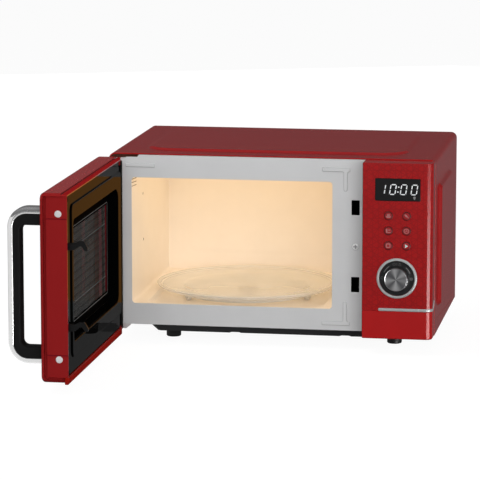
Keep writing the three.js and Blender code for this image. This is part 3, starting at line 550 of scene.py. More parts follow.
def tray_glass():
    """Clear greyish tableware glass, denser at grazing angles and in its thick rim."""
    m = finish("tray_glass", (0.86, 0.87, 0.84), 0.06, spec=0.5, tone=0.03, bump=0.02, grain=90, alpha=0.2)
    t = m.node_tree
    p = t.nodes["Principled BSDF"]
    lw = t.nodes.new("ShaderNodeLayerWeight")
    lw.inputs["Blend"].default_value = 0.35
    r = t.nodes.new("ShaderNodeMapRange")
    r.inputs["To Min"].default_value = 0.26
    r.inputs["To Max"].default_value = 0.56
    _link(t, lw.outputs["Facing"], r.inputs["Value"])
    _link(t, r.outputs["Result"], p.inputs["Alpha"])
    return m


M["tray_glass"] = tray_glass()


def spun():
    """Turned aluminium face: fine circular lay as a bump, with soft radial sectors painted into its colour as painted
    highlights.
    """
    m = finish("spun_face_painted_sheen", (0.62, 0.62, 0.63), 0.34, metal=0.9, tone=0.03, grain=900, bump=0.02)
    t = m.node_tree
    p = t.nodes["Principled BSDF"]
    co = t.nodes.new("ShaderNodeTexCoord")
    c = cab((DIAL[0], 0, DIAL[1]))
    mp = t.nodes.new("ShaderNodeMapping")
    mp.inputs["Location"].default_value = (-c.x, 0, -c.z)
    _link(t, co.outputs["Object"], mp.inputs["Vector"])
    sep = t.nodes.new("ShaderNodeSeparateXYZ")
    _link(t, mp.outputs["Vector"], sep.inputs["Vector"])
    ang = math_node(t, "ARCTAN2", sep.outputs["X"], sep.outputs["Z"])  # clockwise from the top
    total = None
    for centre, width, level in ((-8, 26, 0.85), (52, 24, 0.72), (98, 26, 0.42), (182, 34, 1.0), (262, 30, 0.72)):
        d = math_node(t, "SUBTRACT", ang, math.radians(centre if centre <= 180 else centre - 360))
        d = math_node(t, "ABSOLUTE", math_node(t, "WRAP", d, math.pi, -math.pi))
        r = t.nodes.new("ShaderNodeMapRange")
        r.interpolation_type = "SMOOTHSTEP"
        r.inputs["From Min"].default_value = 0
        r.inputs["From Max"].default_value = math.radians(width * 1.35)
        r.inputs["To Min"].default_value = level
        r.inputs["To Max"].default_value = 0
        _link(t, d, r.inputs["Value"])
        total = r.outputs["Result"] if total is None else math_node(t, "MAXIMUM", total, r.outputs["Result"])
    ramp = t.nodes.new("ShaderNodeValToRGB")
    ramp.color_ramp.elements[0].color = (0.28, 0.28, 0.29, 1)
    ramp.color_ramp.elements[1].color = (1.0, 1.0, 1.0, 1)
    _link(t, total, ramp.inputs["Fac"])
    # circular lay
    rad = math_node(t, "SQRT", math_node(t, "ADD", math_node(t, "MULTIPLY", sep.outputs["X"], sep.outputs["X"]), math_node(t, "MULTIPLY", sep.outputs["Z"], sep.outputs["Z"])))
    wave = math_node(t, "SINE", math_node(t, "MULTIPLY", rad, 2 * math.pi / 0.00045))
    b = t.nodes.new("ShaderNodeBump")
    b.inputs["Strength"].default_value = 0.12
    b.inputs["Distance"].default_value = 0.00005
    _link(t, wave, b.inputs["Height"])
    _link(t, b.outputs["Normal"], p.inputs["Normal"])
    _link(t, ramp.outputs["Color"], p.inputs["Base Color"])
    return m



def banded(m, period, duty, level):
    """Darkens a surface in thin level rows, period and duty in metres along z."""
    t = m.node_tree
    p = t.nodes["Principled BSDF"]
    co = t.nodes.new("ShaderNodeTexCoord")
    sep = t.nodes.new("ShaderNodeSeparateXYZ")
    _link(t, co.outputs["Object"], sep.inputs["Vector"])
    q = math_node(t, "FRACT", math_node(t, "DIVIDE", sep.outputs["Z"], period))
    d = math_node(t, "MULTIPLY", math_node(t, "ABSOLUTE", math_node(t, "SUBTRACT", q, 0.5)), period)
    r = t.nodes.new("ShaderNodeMapRange")
    r.interpolation_type = "SMOOTHSTEP"
    r.inputs["From Min"].default_value = duty * 0.3
    r.inputs["From Max"].default_value = duty * 0.8
    r.inputs["To Min"].default_value = 1 - level
    r.inputs["To Max"].default_value = 0
    _link(t, d, r.inputs["Value"])
    old = p.inputs["Base Color"].links[0].from_socket
    mix = t.nodes.new("ShaderNodeMix")
    mix.data_type = "RGBA"
    mix.inputs["B"].default_value = (0.0, 0.0, 0.0, 1)
    _link(t, r.outputs["Result"], mix.inputs["Factor"])
    _link(t, old, mix.inputs["A"])
    _link(t, mix.outputs["Result"], p.inputs["Base Color"])


def edge_gloss(m, weight):
    """Satin seen from the front, glossy at grazing angles."""
    t = m.node_tree
    lw = t.nodes.new("ShaderNodeLayerWeight")
    lw.inputs["Blend"].default_value = 0.5
    r = t.nodes.new("ShaderNodeMapRange")
    r.inputs["From Min"].default_value = 0.45
    r.inputs["From Max"].default_value = 0.8
    r.inputs["To Min"].default_value = 0.0
    r.inputs["To Max"].default_value = weight
    _link(t, lw.outputs["Facing"], r.inputs["Value"])
    _link(t, r.outputs["Result"], t.nodes["Principled BSDF"].inputs["Coat Weight"])


banded(M["screen_steel"], 0.0101, 0.0020, 0.45)
banded(M["screen_steel"], 0.0034, 0.0012, 0.80)
edge_gloss(M["red_door"], 1.0)
edge_gloss(M["red_door_top_lit"], 1.0)
M["tray_rim_highlight"] = finish("tray_rim_highlight", (0.90, 0.86, 0.78), 0.10, spec=0.5, tone=0.02, bump=0.01, grain=90, alpha=0.72)
M["coupler_plastic"] = finish("coupler_plastic", (0.40, 0.31, 0.21), 0.42, grain=1200, bump=0.06, tone=0.03)

M["spun_face_painted_sheen"] = spun()


# ------------------------------------------------------------------ cabinet
def arc(cx, cz, r, a0, a1, n):
    return [(cx + r * math.cos(math.radians(a0 + (a1 - a0) * k / n)), cz + r * math.sin(math.radians(a0 + (a1 - a0) * k / n))) for k in range(n + 1)]


def cover_section(t, grow):
    R, r = 8.0, 8.0 - t
    pts = [(0, 0)] + arc(R, ZT - R, R, 180, 90, 10) + arc(W - R, ZT - R, R, 90, 0, 10) + [(W, 0), (W - t, 0)]
    pts += arc(W - R, ZT - R, r, 0, 90, 10) + arc(R, ZT - R, r, 90, 180, 10) + [(t, 0)]
    pts = list(reversed(pts))
    return offset(pts, grow) if grow else pts


cover = stack(
    [lift("y", cover_section(t, g), y) for y, t, g in ((0, 1.7, 0.42), (0.12, 1.7, 0.18), (0.4, 1.7, 0), (7, 1.7, 0), (7.2, 0.9, 0), (D - 0.3, 0.9, 0), (D, 0.9, 0.25))]
)


def crease(y0, z0, y1, z1, x, depth, half):
    L = math.hypot(y1 - y0, z1 - z0)
    ny, nz = -(z1 - z0) / L * half, (y1 - y0) / L * half
    s = 1 if x > 100 else -1
    out = []
    for y, z, k in ((y0, z0, 0.05), (y0 + 12 * (y1 - y0) / L, z0 + 12 * (z1 - z0) / L, 1), (y1 - 12 * (y1 - y0) / L, z1 - 12 * (z1 - z0) / L, 1), (y1, z1, 0.05)):
        out.append([(x + s * 0.2, y + ny, z + nz), (x + s * 0.2, y - ny, z - nz), (x - s * depth * k, y, z)])
    return stack(out)


make(
    "outer_cover",
    cover,
    "cabinet",
    M["red_paint"],
    ("outer_cover",),
    angle=24,
    plus=[
        field("z", 40, 33, 398, 264, 38, ZT, 2.4, 6.5, n=10),
        field("x", 35, 31, 190, 200, 12, W, 4.8, 6.5, n=8),
        field("x", 35, 31, 190, 200, 12, 0, -4.8, 6.5, n=8),
    ],
    minus=[
        crease(20, 18.5, 236, 6.7, W, 0.75, 1.25),
        crease(20, 18.5, 236, 6.7, 0, 0.75, 1.25),
    ],
)

# front plate with its pressed ribs, whose walls carry painted shade
plate_outline = [(2, 3.2), (W - 2, 3.2), (W - 2, 228), (W - 2.9, 231.2), (W - 5, 233.3), (W - 8, 234), (41, 234), (38.5, 230.9), (23.5, 230.9), (21, 227.2), (2, 227.2)]
holes = [rr(30.7, 32.0, 302.4, 203.3, 4.5, 8)] + [rr(328.2, a - 0.4, 339.1, b + 0.4, 0.8, 3) for a, b in SLOTS] + [circle(333.7, 117.2, 2.1, 16)]


def fillet(points, radii, n=5):
    """Outline with rounded corners, outward and inward ones alike."""
    out = []
    for k, r in enumerate(radii):
        p = Vector(points[k])
        a = (Vector(points[k - 1]) - p).normalized()
        b = (Vector(points[(k + 1) % len(points)]) - p).normalized()
        half = a.angle(b) / 2
        c = p + (a + b).normalized() * (r / math.sin(half))
        s, e = p + a * (r / math.tan(half)), p + b * (r / math.tan(half))
        a0, a1 = math.atan2(s.y - c.y, s.x - c.x), math.atan2(e.y - c.y, e.x - c.x)
        d = (a1 - a0 + math.pi) % (2 * math.pi) - math.pi
        out += [(c.x + r * math.cos(a0 + d * i / n), c.y + r * math.sin(a0 + d * i / n)) for i in range(n + 1)]
    return out


def rib(points, radii):
    """Pressed rib standing 1.15 mm out of the plate, with steep rounded walls."""
    o = fillet(points, radii)
    return stack([lift("y", offset(o, i) if i else o, y) for i, y in ((0, 0.3), (0, -0.02), (0.1, -0.35), (0.4, -0.85), (0.65, -1.07), (0.9, -1.14), (1.05, -1.15))])


def bar(x0, z0, x1, z1, r):
    return rib([(x0, z0), (x1, z0), (x1, z1), (x0, z1)], [r] * 4)


TEE_UP = [(288.7, 217.2), (317.2, 217.2), (317.2, 191.0), (322.8, 191.0), (322.8, 217.2), (326.6, 217.2), (326.6, 222.8), (288.7, 222.8)]
TEE_LOW = [(288.7, 9.9), (326.6, 9.9), (326.6, 15.5), (322.8, 15.5), (322.8, 43.0), (317.2, 43.0), (317.2, 15.5), (288.7, 15.5)]


SHADE_SIDE = lambda n: n.z < -0.3
front_plate = make(
    "front_plate",
    both(plate("y", plate_outline, holes, 1.2, 0, 0, 0.3, 3), rib(TEE_UP, (1.5, 1.8, 2.7, 2.7, 1.8, 1.5, 1.5, 1.5)), rib(TEE_LOW, (1.5, 1.5, 1.5, 1.8, 2.7, 2.7, 1.8, 1.5)), bar(22.6, 217.2, 62.9, 222.8, 1.5)),
    "cabinet",
    M["grey_paint"],
    ("front_plate",),
    angle=50,
)
# painted shade on the rib walls: darker grey on walls facing down, paler grey on the others
paint_part(front_plate, M["rib_shade"], lambda c, n: -1.12 < c.y < -0.04 and abs(n.y) < 0.93 and SHADE_SIDE(n))
paint_part(front_plate, M["rib_wall_pale_shade"], lambda c, n: -1.12 < c.y < -0.04 and abs(n.y) < 0.93 and not SHADE_SIDE(n))

# cavity lining; its enamel carries a painted warm glow
t = 0.9
cav = box(CAV_X[0] - t, CAV_Y[0], CAV_Z[0] - t, CAV_X[1] + t, CAV_Y[1] + t, CAV_Z[1] + t)
sink_box = box(45.0, 10.0, SINK - t, 289.0, 266.0, CAV_Z[0])
inner = stack([lift("y", rr(CAV_X[0] + i, CAV_Z[0] + i, CAV_X[1] - i, CAV_Z[1] - i, max(4.5 - i, 0.6), 6), y) for i, y in edges(CAV_Y[0] - 1, CAV_Y[1], 0, 1.4, 4)])
sunk = stack(
    [lift("z", rr(46 + i, 11 + i, 288 - i, 265 - i, 22 - i, 8), z) for i, z in [(0, CAV_Z[0] + 1), (0, CAV_Z[0])] + [(4.5 * k / 6, CAV_Z[0] - (CAV_Z[0] - SINK) * (0.5 - 0.5 * math.cos(math.pi * k / 6))) for k in range(1, 7)]]
)
slots = []
for z in (187.2, 192.0, 196.6):
    slots.append(stack([[(x, 12, z + 0.85), (x, 50, z - 1.75), (x, 50.5, z - 1.1), (x, 50, z - 0.45), (x, 12, z + 2.15), (x, 11.5, z + 1.5)] for x in (CAV_X[0] - 3, CAV_X[0] + 1)]))
dots = [prism("x", circle(y, z, 2.3, 12), CAV_X[0] - 3, CAV_X[0] + 1) for y, z in ((94.6, 167.1), (96.6, 103.4))]
ports = [box(CAV_X[1] - 1, 132, 122, CAV_X[1] + 3, 206, 166)]
ports += [prism("x", circle(64 + 8 * i, 180 + 8 * j, 2.0, 12), CAV_X[1] - 1, CAV_X[1] + 3) for i in range(3) for j in range(3)]
ports.append(prism("z", circle(TRAY[0], TRAY[1], 8, 24), SINK - 3, SINK + 2))
liner = make(
    "cavity_liner",
    cav,
    "cabinet",
    M["cavity_enamel"],
    ("cavity_liner",),
    angle=34,
    plus=[sink_box],
    minus=[inner, sunk] + slots + dots + ports,
)
# soft pressed fields of the rear and left walls, in the enamel with its painted warm glow
make(
    "cavity_wall_fields",
    both(
        field("y", 55.5, 53.5, 277.5, 183, 16, CAV_Y[1] - 0.02, -0.45, 9.0, sink=0.2, n=8),
        field("x", 130, 62, 240, 180, 14, CAV_X[0] + 0.02, 0.3, 10.0, sink=0.2, n=8),
        field("z", 70, 50, 262, 230, 24, CAV_Z[1] - 0.02, -1.4, 5.0, sink=0.2, n=8),
    ),
    "cabinet",
    M["cavity_enamel"],
    angle=50,
)


# backs of the air slots in the left wall, painted a dull brown as shade
make("cavity_slot_backs", box(CAV_X[0] - 0.6, 9, 183.5, CAV_X[0] - 0.35, 53, 200.5), "cabinet", M["slot_back_shade"])

# blind ends of the two small holes in the left wall, flat black as painted shade
make("cavity_hole_ends", both(*[prism("x", circle(y, z, 2.9, 12), CAV_X[0] - 1.0, CAV_X[0] - 0.35) for y, z in ((94.6, 167.1), (96.6, 103.4))]), "cabinet", M["print_and_shade_black"])

# ducts behind the two latch slots, flat black as painted shade
make(
    "latch_ducts",
    both(*[plate("y", rr(327.5, a - 1.1, 339.8, b + 1.1, 1.2, 3), [rr(328.2, a - 0.4, 339.1, b + 0.4, 0.8, 3)], 30.0, 1.25) for a, b in SLOTS], *[rbox("y", 327.5, a - 1.1, 339.8, b + 1.1, 1.2, 31.0, 30.0, 0, 0) for a, b in SLOTS]),
    "cabinet",
    M["print_and_shade_black"],
)

# screw of the latch board: pan head with a cross recess painted in shade, and a grey ring round it as a painted shadow
sx, sz = 333.7, 117.2
cross = [box(sx - 2.8, -4, sz - 0.65, sx + 2.8, -0.55, sz + 0.65), box(sx - 0.65, -4, sz - 2.8, sx + 0.65, -0.55, sz + 2.8)]
plate_screw = make("plate_screw", lathe([(0, -1.32), (3.3, -1.26), (3.9, -1.05), (4.2, -0.7), (4.3, -0.35), (4.3, -0.1), (0, -0.1)], 32, "y", sx, sz), "cabinet", M["plate_head"], ("plate_screw",), minus=cross)
paint_part(plate_screw, M["screw_shade"], lambda c, n: c.y > -1.12 and math.hypot(c.x - sx, c.z - sz) < 3.2)
# painted shadow: grey ring round the screw head
make("plate_screw_shadow_ring", plate("y", circle(sx, sz, 4.95, 32), [circle(sx, sz, 4.2, 32)], -0.05, -0.14, 0, 0.02, 1), "cabinet", M["rib_wall_pale_shade"])

# feet
for name, fx, fy in (("foot_front_left", 78, 52), ("foot_front_right", 381, 52), ("foot_rear_left", 78, 238), ("foot_rear_right", 381, 238)):
    prof = [(0, -21.5), (6.8, -21.5), (7.2, -21.2), (7.6, -20.9), (8.0, -21.2), (8.4, -21.5), (9.0, -21.4), (9.6, -20.9), (9.9, -20.2), (10, -19.2), (10, -6.6), (9.6, -6.1), (8.6, -5.9), (0, -5.9)]
    make(name, lathe(prof, 40, "z", fx, fy), "cabinet", M["foot_rubber"], (name,), angle=50)

# ------------------------------------------------------------------ control panel
def plan(off, y1, r=9.0, n=12, x0=PX[0]):
    R = r - off
    out = [(x0, y1)] + [(x0 + a, PY + off + b) for a, b in ((0, 1.3), (0.15, 0.65), (0.6, 0.15), (1.3, 0))]
    for k in range(n + 1):
        a = math.radians(-90 + 90 * k / n)
        out.append((PX[1] - off - R + R * math.cos(a), PY + off + R + R * math.sin(a)))
    out.append((PX[1] - off, y1))
    return out


def plan_in(off, inset, y1=-0.4):
    """Plan outline taken in by inset on all sides but the back, for rounded top and bottom edges."""
    R = 9.0 - off - inset
    e = off + inset
    out = [(PX[0] + inset, y1)] + [(PX[0] + inset + a, PY + e + b) for a, b in ((0, 1.3), (0.15, 0.65), (0.6, 0.15), (1.3, 0))]
    for k in range(13):
        a = math.radians(-90 + 90 * k / 12)
        out.append((PX[1] - e - R + R * math.cos(a), PY + e + R + R * math.sin(a)))
    out.append((PX[1] - e, y1))
    return out


rings = [lift("z", plan_in(0, i), z) for i, z in edges(0, SEAM - 0.15, 1.6, 0.25, 4)]
rings += [lift("z", plan_in(0.75, i), z) for i, z in edges(SEAM - 0.10, PT, 0, 1.0, 4)]
hollow = [(max(x, PX[0] + 2.1), y) for x, y in plan(2.9, 2)]


def panel_holes(y0, y1, grow, n=28):
    out = [prism("y", rr(DISP[0] - grow, DISP[2] - grow, DISP[1] + grow, DISP[3] + grow, 1.2 + grow, 4), y0, y1)]
    out += [prism("y", circle(x, z, 5.6 + grow, n), y0, y1) for x in BTN_X for z in BTN_Z]
    return out


housing = make(
    "control_housing",
    stack(rings),
    "cabinet",
    M["red_plastic"],
    ("control_housing",),
    angle=34,
    minus=[prism("z", hollow, 2.4, PT - 2.2)] + panel_holes(-40, -27, 0.35) + [prism("y", circle(*DIAL, 5.6, 24), -40, -27)],
)


def film_ring(grow, z):
    o, i = plan(grow, -3), list(reversed(plan(0.45, -3)))
    return lift("z", o[1:] + i[:-1], z)


CORNER = cab((PX[1] - 9, PY + 9, 0))


def film_uv(co):
    p = (co - ORIGIN) * 1000
    cx, cy = PX[1] - 9, PY + 9
    if p.x <= cx:
        u = p.x
    elif p.y <= cy:
        u = cx + 9 * (math.atan2(p.x - cx, cy - p.y))
    else:
        u = cx + 9 * math.pi / 2 + (p.y - cy)
    return (u - 393.1, p.z - 120.0)


film = make(
    "panel_film",
    stack([film_ring(0.15, SEAM + 0.15), film_ring(0, SEAM + 0.3), film_ring(0, PT - 0.45), film_ring(0.12, PT - 0.12), film_ring(0.35, PT)]),
    "cabinet",
    M["red_film"],
    ("panel_film",),
    angle=34,
    minus=panel_holes(-40, -25, 0.3) + [prism("y", circle(*DIAL, 23.4, 64), -40, -25)],
    uv=film_uv,
)

# painted shade: the faces turned left along the panel's left edge are painted near-black red
for o in (housing, film):
    paint_part(o, M["panel_side_shade"], lambda c, n: n.x < -0.45 and c.x < PX[0] + 1.4)

# clock display: dark window, slanted seven-segment digits, colon, small drop-shaped sign
make(
    "display_window",
    both(rbox("y", DISP[0], DISP[2], DISP[1], DISP[3], 1.2, -28.4, -32.2, 0, 0.35), rbox("y", 360.5, 182, 426, 217.5, 1.0, -27.4, -28.6, 0.1, 0.1)),
    "cabinet",
    M["display_black"],
    ("display_window",),
)


def segment(cx, cz, x0, z0, x1, z1, w=1.32, gap=0.55, y=-32.2):
    """One bar of a digit, pointed at both ends and leaning with the digit."""
    dx, dz = x1 - x0, z1 - z0
    L = math.hypot(dx, dz)
    ux, uz = dx / L, dz / L
    nx, nz = -uz, ux
    h = w / 2
    pts = []
    for s, q in ((gap, 0), (gap + h, h), (L - gap - h, h), (L - gap, 0), (L - gap - h, -h), (gap + h, -h)):
        a, b = x0 + ux * s + nx * q, z0 + uz * s + nz * q
        pts.append((cx + a + math.tan(math.radians(9)) * b, cz + b))
    return stack([lift("y", offset(ccw(pts), i), h2) for i, h2 in ((0, y + 0.1), (0, y - 0.02), (0.06, y - 0.06))])


def digit(cx, cz, lit, hw=3.55, hh=6.45):
    S = {
        "a": (-hw, hh, hw, hh), "b": (hw, 0, hw, hh), "c": (hw, -hh, hw, 0), "d": (-hw, -hh, hw, -hh),
        "e": (-hw, -hh, -hw, 0), "f": (-hw, 0, -hw, hh), "g": (-hw, 0, hw, 0),
    }
    return [segment(cx, cz, *S[k]) for k in lit]


signs = digit(372.8, 200.15, "bc") + digit(386.9, 200.15, "abcdef") + digit(401.0, 200.15, "abcdef") + digit(415.1, 200.15, "abcdef")
for cx, cz in ((394.45, 203.4), (393.4, 196.9)):
    signs.append(lathe([(0, -32.26), (0.75, -32.26), (0.95, -32.2), (0.95, -32.1), (0, -32.1)], 16, "y", cx, cz))
make("display_digits", both(*signs), "cabinet", M["lit_digit"])
drop = [(1.7 * math.sin(a) * (1 if math.cos(a) > 0 else (1 + 0.35 * math.cos(a))), 0.75 * math.cos(a) + (1.0 if math.cos(a) > 0 else 1.9) * math.cos(a)) for a in (2 * math.pi * k / 24 for k in range(24))]
make("display_sign", prism("y", [(415.3 + x, 189.7 + z) for x, z in drop], -32.1, -32.26), "cabinet", M["light_print"])

# buttons: domed edge, dark outline ring as painted shade in the gap round the cap, printed sign
def icon(kind, cx, cz):
    y0, y1 = -32.26, -32.38

    def bar(*q):
        return prism("y", [(cx + a, cz + b) for a, b in q], y0, y1)

    def hoop(r0, r1, n=28, ox=0.0, oz=0.0):
        return plate("y", circle(cx + ox, cz + oz, r1, n), [circle(cx + ox, cz + oz, r0, n)], y0, y1, 0, 0.03, 1)

    if kind == "meal":  # covered bowl
        return both(
            bar((-3.3, -0.6), (-2.2, -2.6), (2.2, -2.6), (3.3, -0.6)),
            bar((-1.9, 0.0), (1.9, 0.0), (1.5, 1.3), (-1.5, 1.3)),
            bar((-2.2, 1.6), (2.2, 1.6), (1.6, 2.3), (-1.6, 2.3)),
        )
    if kind == "defrost":  # leaning drop with a bone
        egg = [(-0.7 + 2.0 * math.cos(a) * 0.8 - 0.9 * math.sin(a), 0.6 + 2.0 * math.sin(a) * 0.9 - 0.3 * math.cos(a)) for a in (2 * math.pi * k / 20 for k in range(20))]
        return both(bar(*egg), bar((0.9, -0.6), (1.4, -0.1), (2.9, -2.2), (2.2, -2.8)))
    if kind == "menu":  # chart of bars
        return both(
            bar((-2.9, -2.7), (-1.3, -2.7), (-1.3, 2.7), (-2.9, 2.7)),
            bar((-1.0, -2.7), (2.8, -2.7), (2.8, -1.7), (-1.0, -1.7)),
            bar((-0.2, 0.3), (2.6, 0.3), (2.6, 1.0), (-0.2, 1.0)),
            bar((0.2, 1.4), (1.0, 1.4), (1.0, 2.2), (0.2, 2.2)),
            bar((1.6, 1.4), (2.4, 1.4), (2.4, 2.2), (1.6, 2.2)),
        )
    if kind == "clock":
        return both(hoop(2.55, 3.35), bar((-0.3, -0.4), (0.3, -0.4), (0.3, 2.1), (-0.3, 2.1)), bar((-0.2, 0.3), (0.2, -0.3), (1.9, -1.3), (1.6, -0.7)), bar((-1.9, -0.9), (-1.6, -1.4), (-0.3, -0.5), (-0.5, 0.0)))
    if kind == "stop":
        return plate("y", rr(cx - 2.9, cz - 2.9, cx + 2.9, cz + 2.9, 1.5, 5), [rr(cx - 1.8, cz - 1.8, cx + 1.8, cz + 1.8, 0.6, 4)], y0, y1, 0, 0.03, 1)
    return bar((-1.6, -2.4), (2.2, -0.15), (-1.6, 2.4))


for name, i, j in (("meal", 0, 0), ("defrost", 1, 0), ("menu", 0, 1), ("clock", 1, 1), ("stop", 0, 2), ("start", 1, 2)):
    node = "button_" + name
    x, z = BTN_X[i], BTN_Z[j]
    prof = [(0, -32.22), (3.4, -32.3), (4.35, -32.26), (4.6, -32.05), (5.3, -32.05), (5.5, -31.9), (5.6, -31.6), (5.6, -28.6), (7.2, -28.6), (7.2, -27.2), (1.8, -27.2), (1.8, -20.3), (0, -20.3)]
    b = nodes[node]["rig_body"]
    make(node, lathe(prof, 40, "y", x, z), b, M["red_button"], (node,), angle=50)
    # painted shade: a dark ring over the cap's edge stands for the gap's shade
    make(node + "_outline", lathe([(4.45, -32.0), (4.5, -32.2), (4.8, -32.3), (5.3, -32.28), (5.6, -32.0), (5.62, -31.7), (4.45, -31.7), (4.45, -32.0)], 40, "y", x, z), b, M["gap_shade_ring"], angle=50)
    make(node + "_sign", icon(name, x, z), b, M["play_print"] if name == "start" else M["pale_print"])

# dial: bezel, black plate with printed signs, knurled knob with a turned face
make(
    "dial_bezel",
    lathe([(23.4, -32.3), (26.9, -32.3), (26.95, -32.9), (26.75, -33.6), (26.3, -34.25), (25.6, -34.65), (24.8, -34.8), (24.1, -34.65), (23.6, -34.2), (23.4, -33.6), (23.4, -32.3)], 96, "y", *DIAL),
    "cabinet", M["satin_silver"], ("dial_bezel",), angle=60,
)
make("dial_plate", lathe([(4.2, -31.55), (23.0, -31.55), (23.05, -32.6), (22.8, -32.9), (17.2, -32.9), (16.9, -32.7), (16.4, -32.7), (16.1, -32.9), (4.4, -32.9), (4.2, -32.7), (4.2, -31.55)], 80, "y", *DIAL), "cabinet", M["dial_black"], ("dial_plate",), angle=40)


def arc_bar(r, w, a0, a1, n=12, y0=-32.85, y1=-32.97):
    """Printed arc on the dial plate; angles clockwise from the top."""
    o = [(DIAL[0] + (r + w / 2) * math.sin(math.radians(a0 + (a1 - a0) * k / n)), DIAL[1] + (r + w / 2) * math.cos(math.radians(a0 + (a1 - a0) * k / n))) for k in range(n + 1)]
    i = [(DIAL[0] + (r - w / 2) * math.sin(math.radians(a0 + (a1 - a0) * k / n)), DIAL[1] + (r - w / 2) * math.cos(math.radians(a0 + (a1 - a0) * k / n))) for k in range(n + 1)]
    return prism("y", o + list(reversed(i)), y0, y1)


def small_ring(x, z, r0, r1, y0=-32.85, y1=-32.97):
    return plate("y", circle(x, z, r1, 24), [circle(x, z, r0, 24)], y0, y1, 0, 0.02, 1)


dx, dz = DIAL
make("dial_arcs", both(arc_bar(18.8, 0.9, -66, -33), arc_bar(18.8, 0.9, 38, 68)), "cabinet", M["light_print"])
make(
    "dial_signs",
    both(
        small_ring(dx - 3.9, dz + 18.9, 1.3, 2.1),
        prism("y", rr(dx - 0.6, dz + 16.9, dx + 0.2, dz + 20.9, 0.3, 2), -32.85, -32.97),
        plate("y", rr(dx + 2.0, dz + 17.0, dx + 5.4, dz + 18.8, 0.3, 2), [rr(dx + 2.6, dz + 17.5, dx + 4.8, dz + 18.3, 0.1, 1)], -32.85, -32.97, 0, 0.02, 1),
        prism("y", rr(dx + 2.6, dz + 19.4, dx + 4.8, dz + 20.8, 0.3, 2), -32.85, -32.97),
        small_ring(dx - 19.4, dz + 0.3, 1.3, 2.1),
        prism("y", circle(dx + 19.2, dz - 0.3, 2.2, 24), -32.85, -32.97),
    ),
    "cabinet", M["grey_print"],
)
wave = lambda a: 0.16 * math.cos(76 * a)
make(
    "selector_knob",
    lathe([(14.4, -44.45), (14.9, -44.7), (15.25, -44.4), (15.4, -43.8), (15.42, -43.2, 1), (15.42, -35.2, 1), (15.2, -34.3), (14.8, -33.8), (3.0, -33.8), (3.0, -20.4), (0, -20.4), (0, -44.0), (14.4, -44.45)], 456, "y", *DIAL, wave=wave),
    nodes["selector_knob"]["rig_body"], M["spun_aluminium"], ("selector_knob",), angle=30, weighted=False,
)
# the knob face carries painted highlight sectors
make("knob_face", lathe([(0, -44.62), (0.5, -44.62), (13.9, -44.62), (14.35, -44.5), (14.4, -44.3), (0, -44.2)], 96, "y", *DIAL), nodes["selector_knob"]["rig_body"], M["spun_face_painted_sheen"], angle=40)

# bright trim line: along the front, round the edge, then up and back along the side
sec = [(a, b) for a, b in [(-1.95, -0.2), (-1.95, 0.25), (-1.7, 0.62), (-1.1, 0.85), (0, 0.95), (1.1, 0.85), (1.7, 0.62), (1.95, 0.25), (1.95, -0.2)]]
path = []
up = (0, 0, 1)
for x, k in ((368.4, 0.1), (368.7, 0.55), (369.3, 0.85), (370.2, 1.0), (400, 1.0), (430.8, 1.0)):
    path.append(((x, PY, 39.6), (0, 0, k), (0, -k, 0)))
for k in range(1, 13):
    a = math.radians(-90 + 90 * k / 12)
    path.append(((PX[1] - 9 + 9 * math.cos(a), PY + 9 + 9 * math.sin(a), 39.6), up, (math.cos(a), math.sin(a), 0)))
for y, z, k in ((-22.0, 39.7, 1), (-20.5, 40.3, 1), (-18.5, 41.5, 1), (-8.0, 46.9, 1), (-5.6, 48.1, 0.9), (-4.6, 48.6, 0.55), (-4.3, 48.75, 0.1)):
    path.append(((PX[1], y, z), (0, 0, k * 1.05), (k, 0, 0)))
make("trim_line", sweep(path, sec), "cabinet", M["bright_trim"], ("trim_line",), angle=60, weighted=False)


# ------------------------------------------------------------------ door (drawn closed)
x0, x1 = DX
y0, y1 = DY
z0, z1 = DZ


def face(i, r, n=8):
    return rr(x0 + i, z0 + i, x1 - i, z1 - i, r, n)


outer = []
for k in range(9):  # rounded front edge
    a = math.pi / 2 * k / 8
    i, y = 5.0 * (1 - math.sin(a)), y0 + 5.0 * (1 - math.cos(a))
    outer.append(lift("y", face(i, 8.0 - i * 0.75), y))
outer += [lift("y", face(0, 8.0), y1 - 0.3), lift("y", face(0.3, 7.7), y1)]
hx, hy = 8.9, -11.7
web = [(x0 + 1, -30), (21, -30), (21, -3.4), (6, -3.4), (x0 + 1, -6)]
hollow_a = box(x0 + 3, y0 + 9, z0 + 7.4, x1 - 4.8, y1 - 2.6, z1 - 3.6)
hollow_b = box(x0 + 8, y0 + 9, z0 + 7.4, x1 - 4.0, y1 + 1, z1 - 3.4)


def edge_cut(za, zb, depth, ya, r, slope):
    """Recess in the free edge with sloping walls; open towards the door's inner side."""
    rings = []
    for i, x in ((0, x1 + 0.6), (0, x1 - 0.02), (slope, x1 - depth)):
        rings.append(lift("x", rr(ya + i, za + i, 6.0, zb - i, (max(r - i * 0.5, 0.3), 0.3, 0.3, max(r - i * 0.5, 0.3)), 5), x))
    return stack(rings)


edge_field = edge_cut(z0 + 3.4, z1 - 3.0, 2.3, y0 + 3.6, 4.4, 1.4)
groove = stack([lift("x", rr(y0 + 3.8, z0 + 3.6, y0 + 7.9, z1 - 3.2, (3.4, 0.6, 0.6, 3.4), 5), x) for x in (x1 - 1.0, x1 - 7.2)])
gutter_hi = stack([lift("x", rr(y0 + 4.0, z1 - 5.2, y1 + 0.5, z1 - 3.2, 0.5, 3), x) for x in (x1 - 1.0, x1 - 3.6)])
gutter_lo = stack([lift("x", rr(y0 + 4.0, z0 + 3.6, y1 + 0.5, z0 + 7.1, (3.0, 0.3, 0.3, 0.3), 5), x) for x in (x1 - 1.0, x1 - 7.0)])
pocket_lo = stack([lift("x", rr(y0 + 7.4 + i, z0 + 6.8 + i, 6.0, 28.8 - i, (1.2, 0.3, 0.3, 0.8), 5), x) for i, x in ((0, x1 - 1.5), (0.5, x1 - 3.3))])
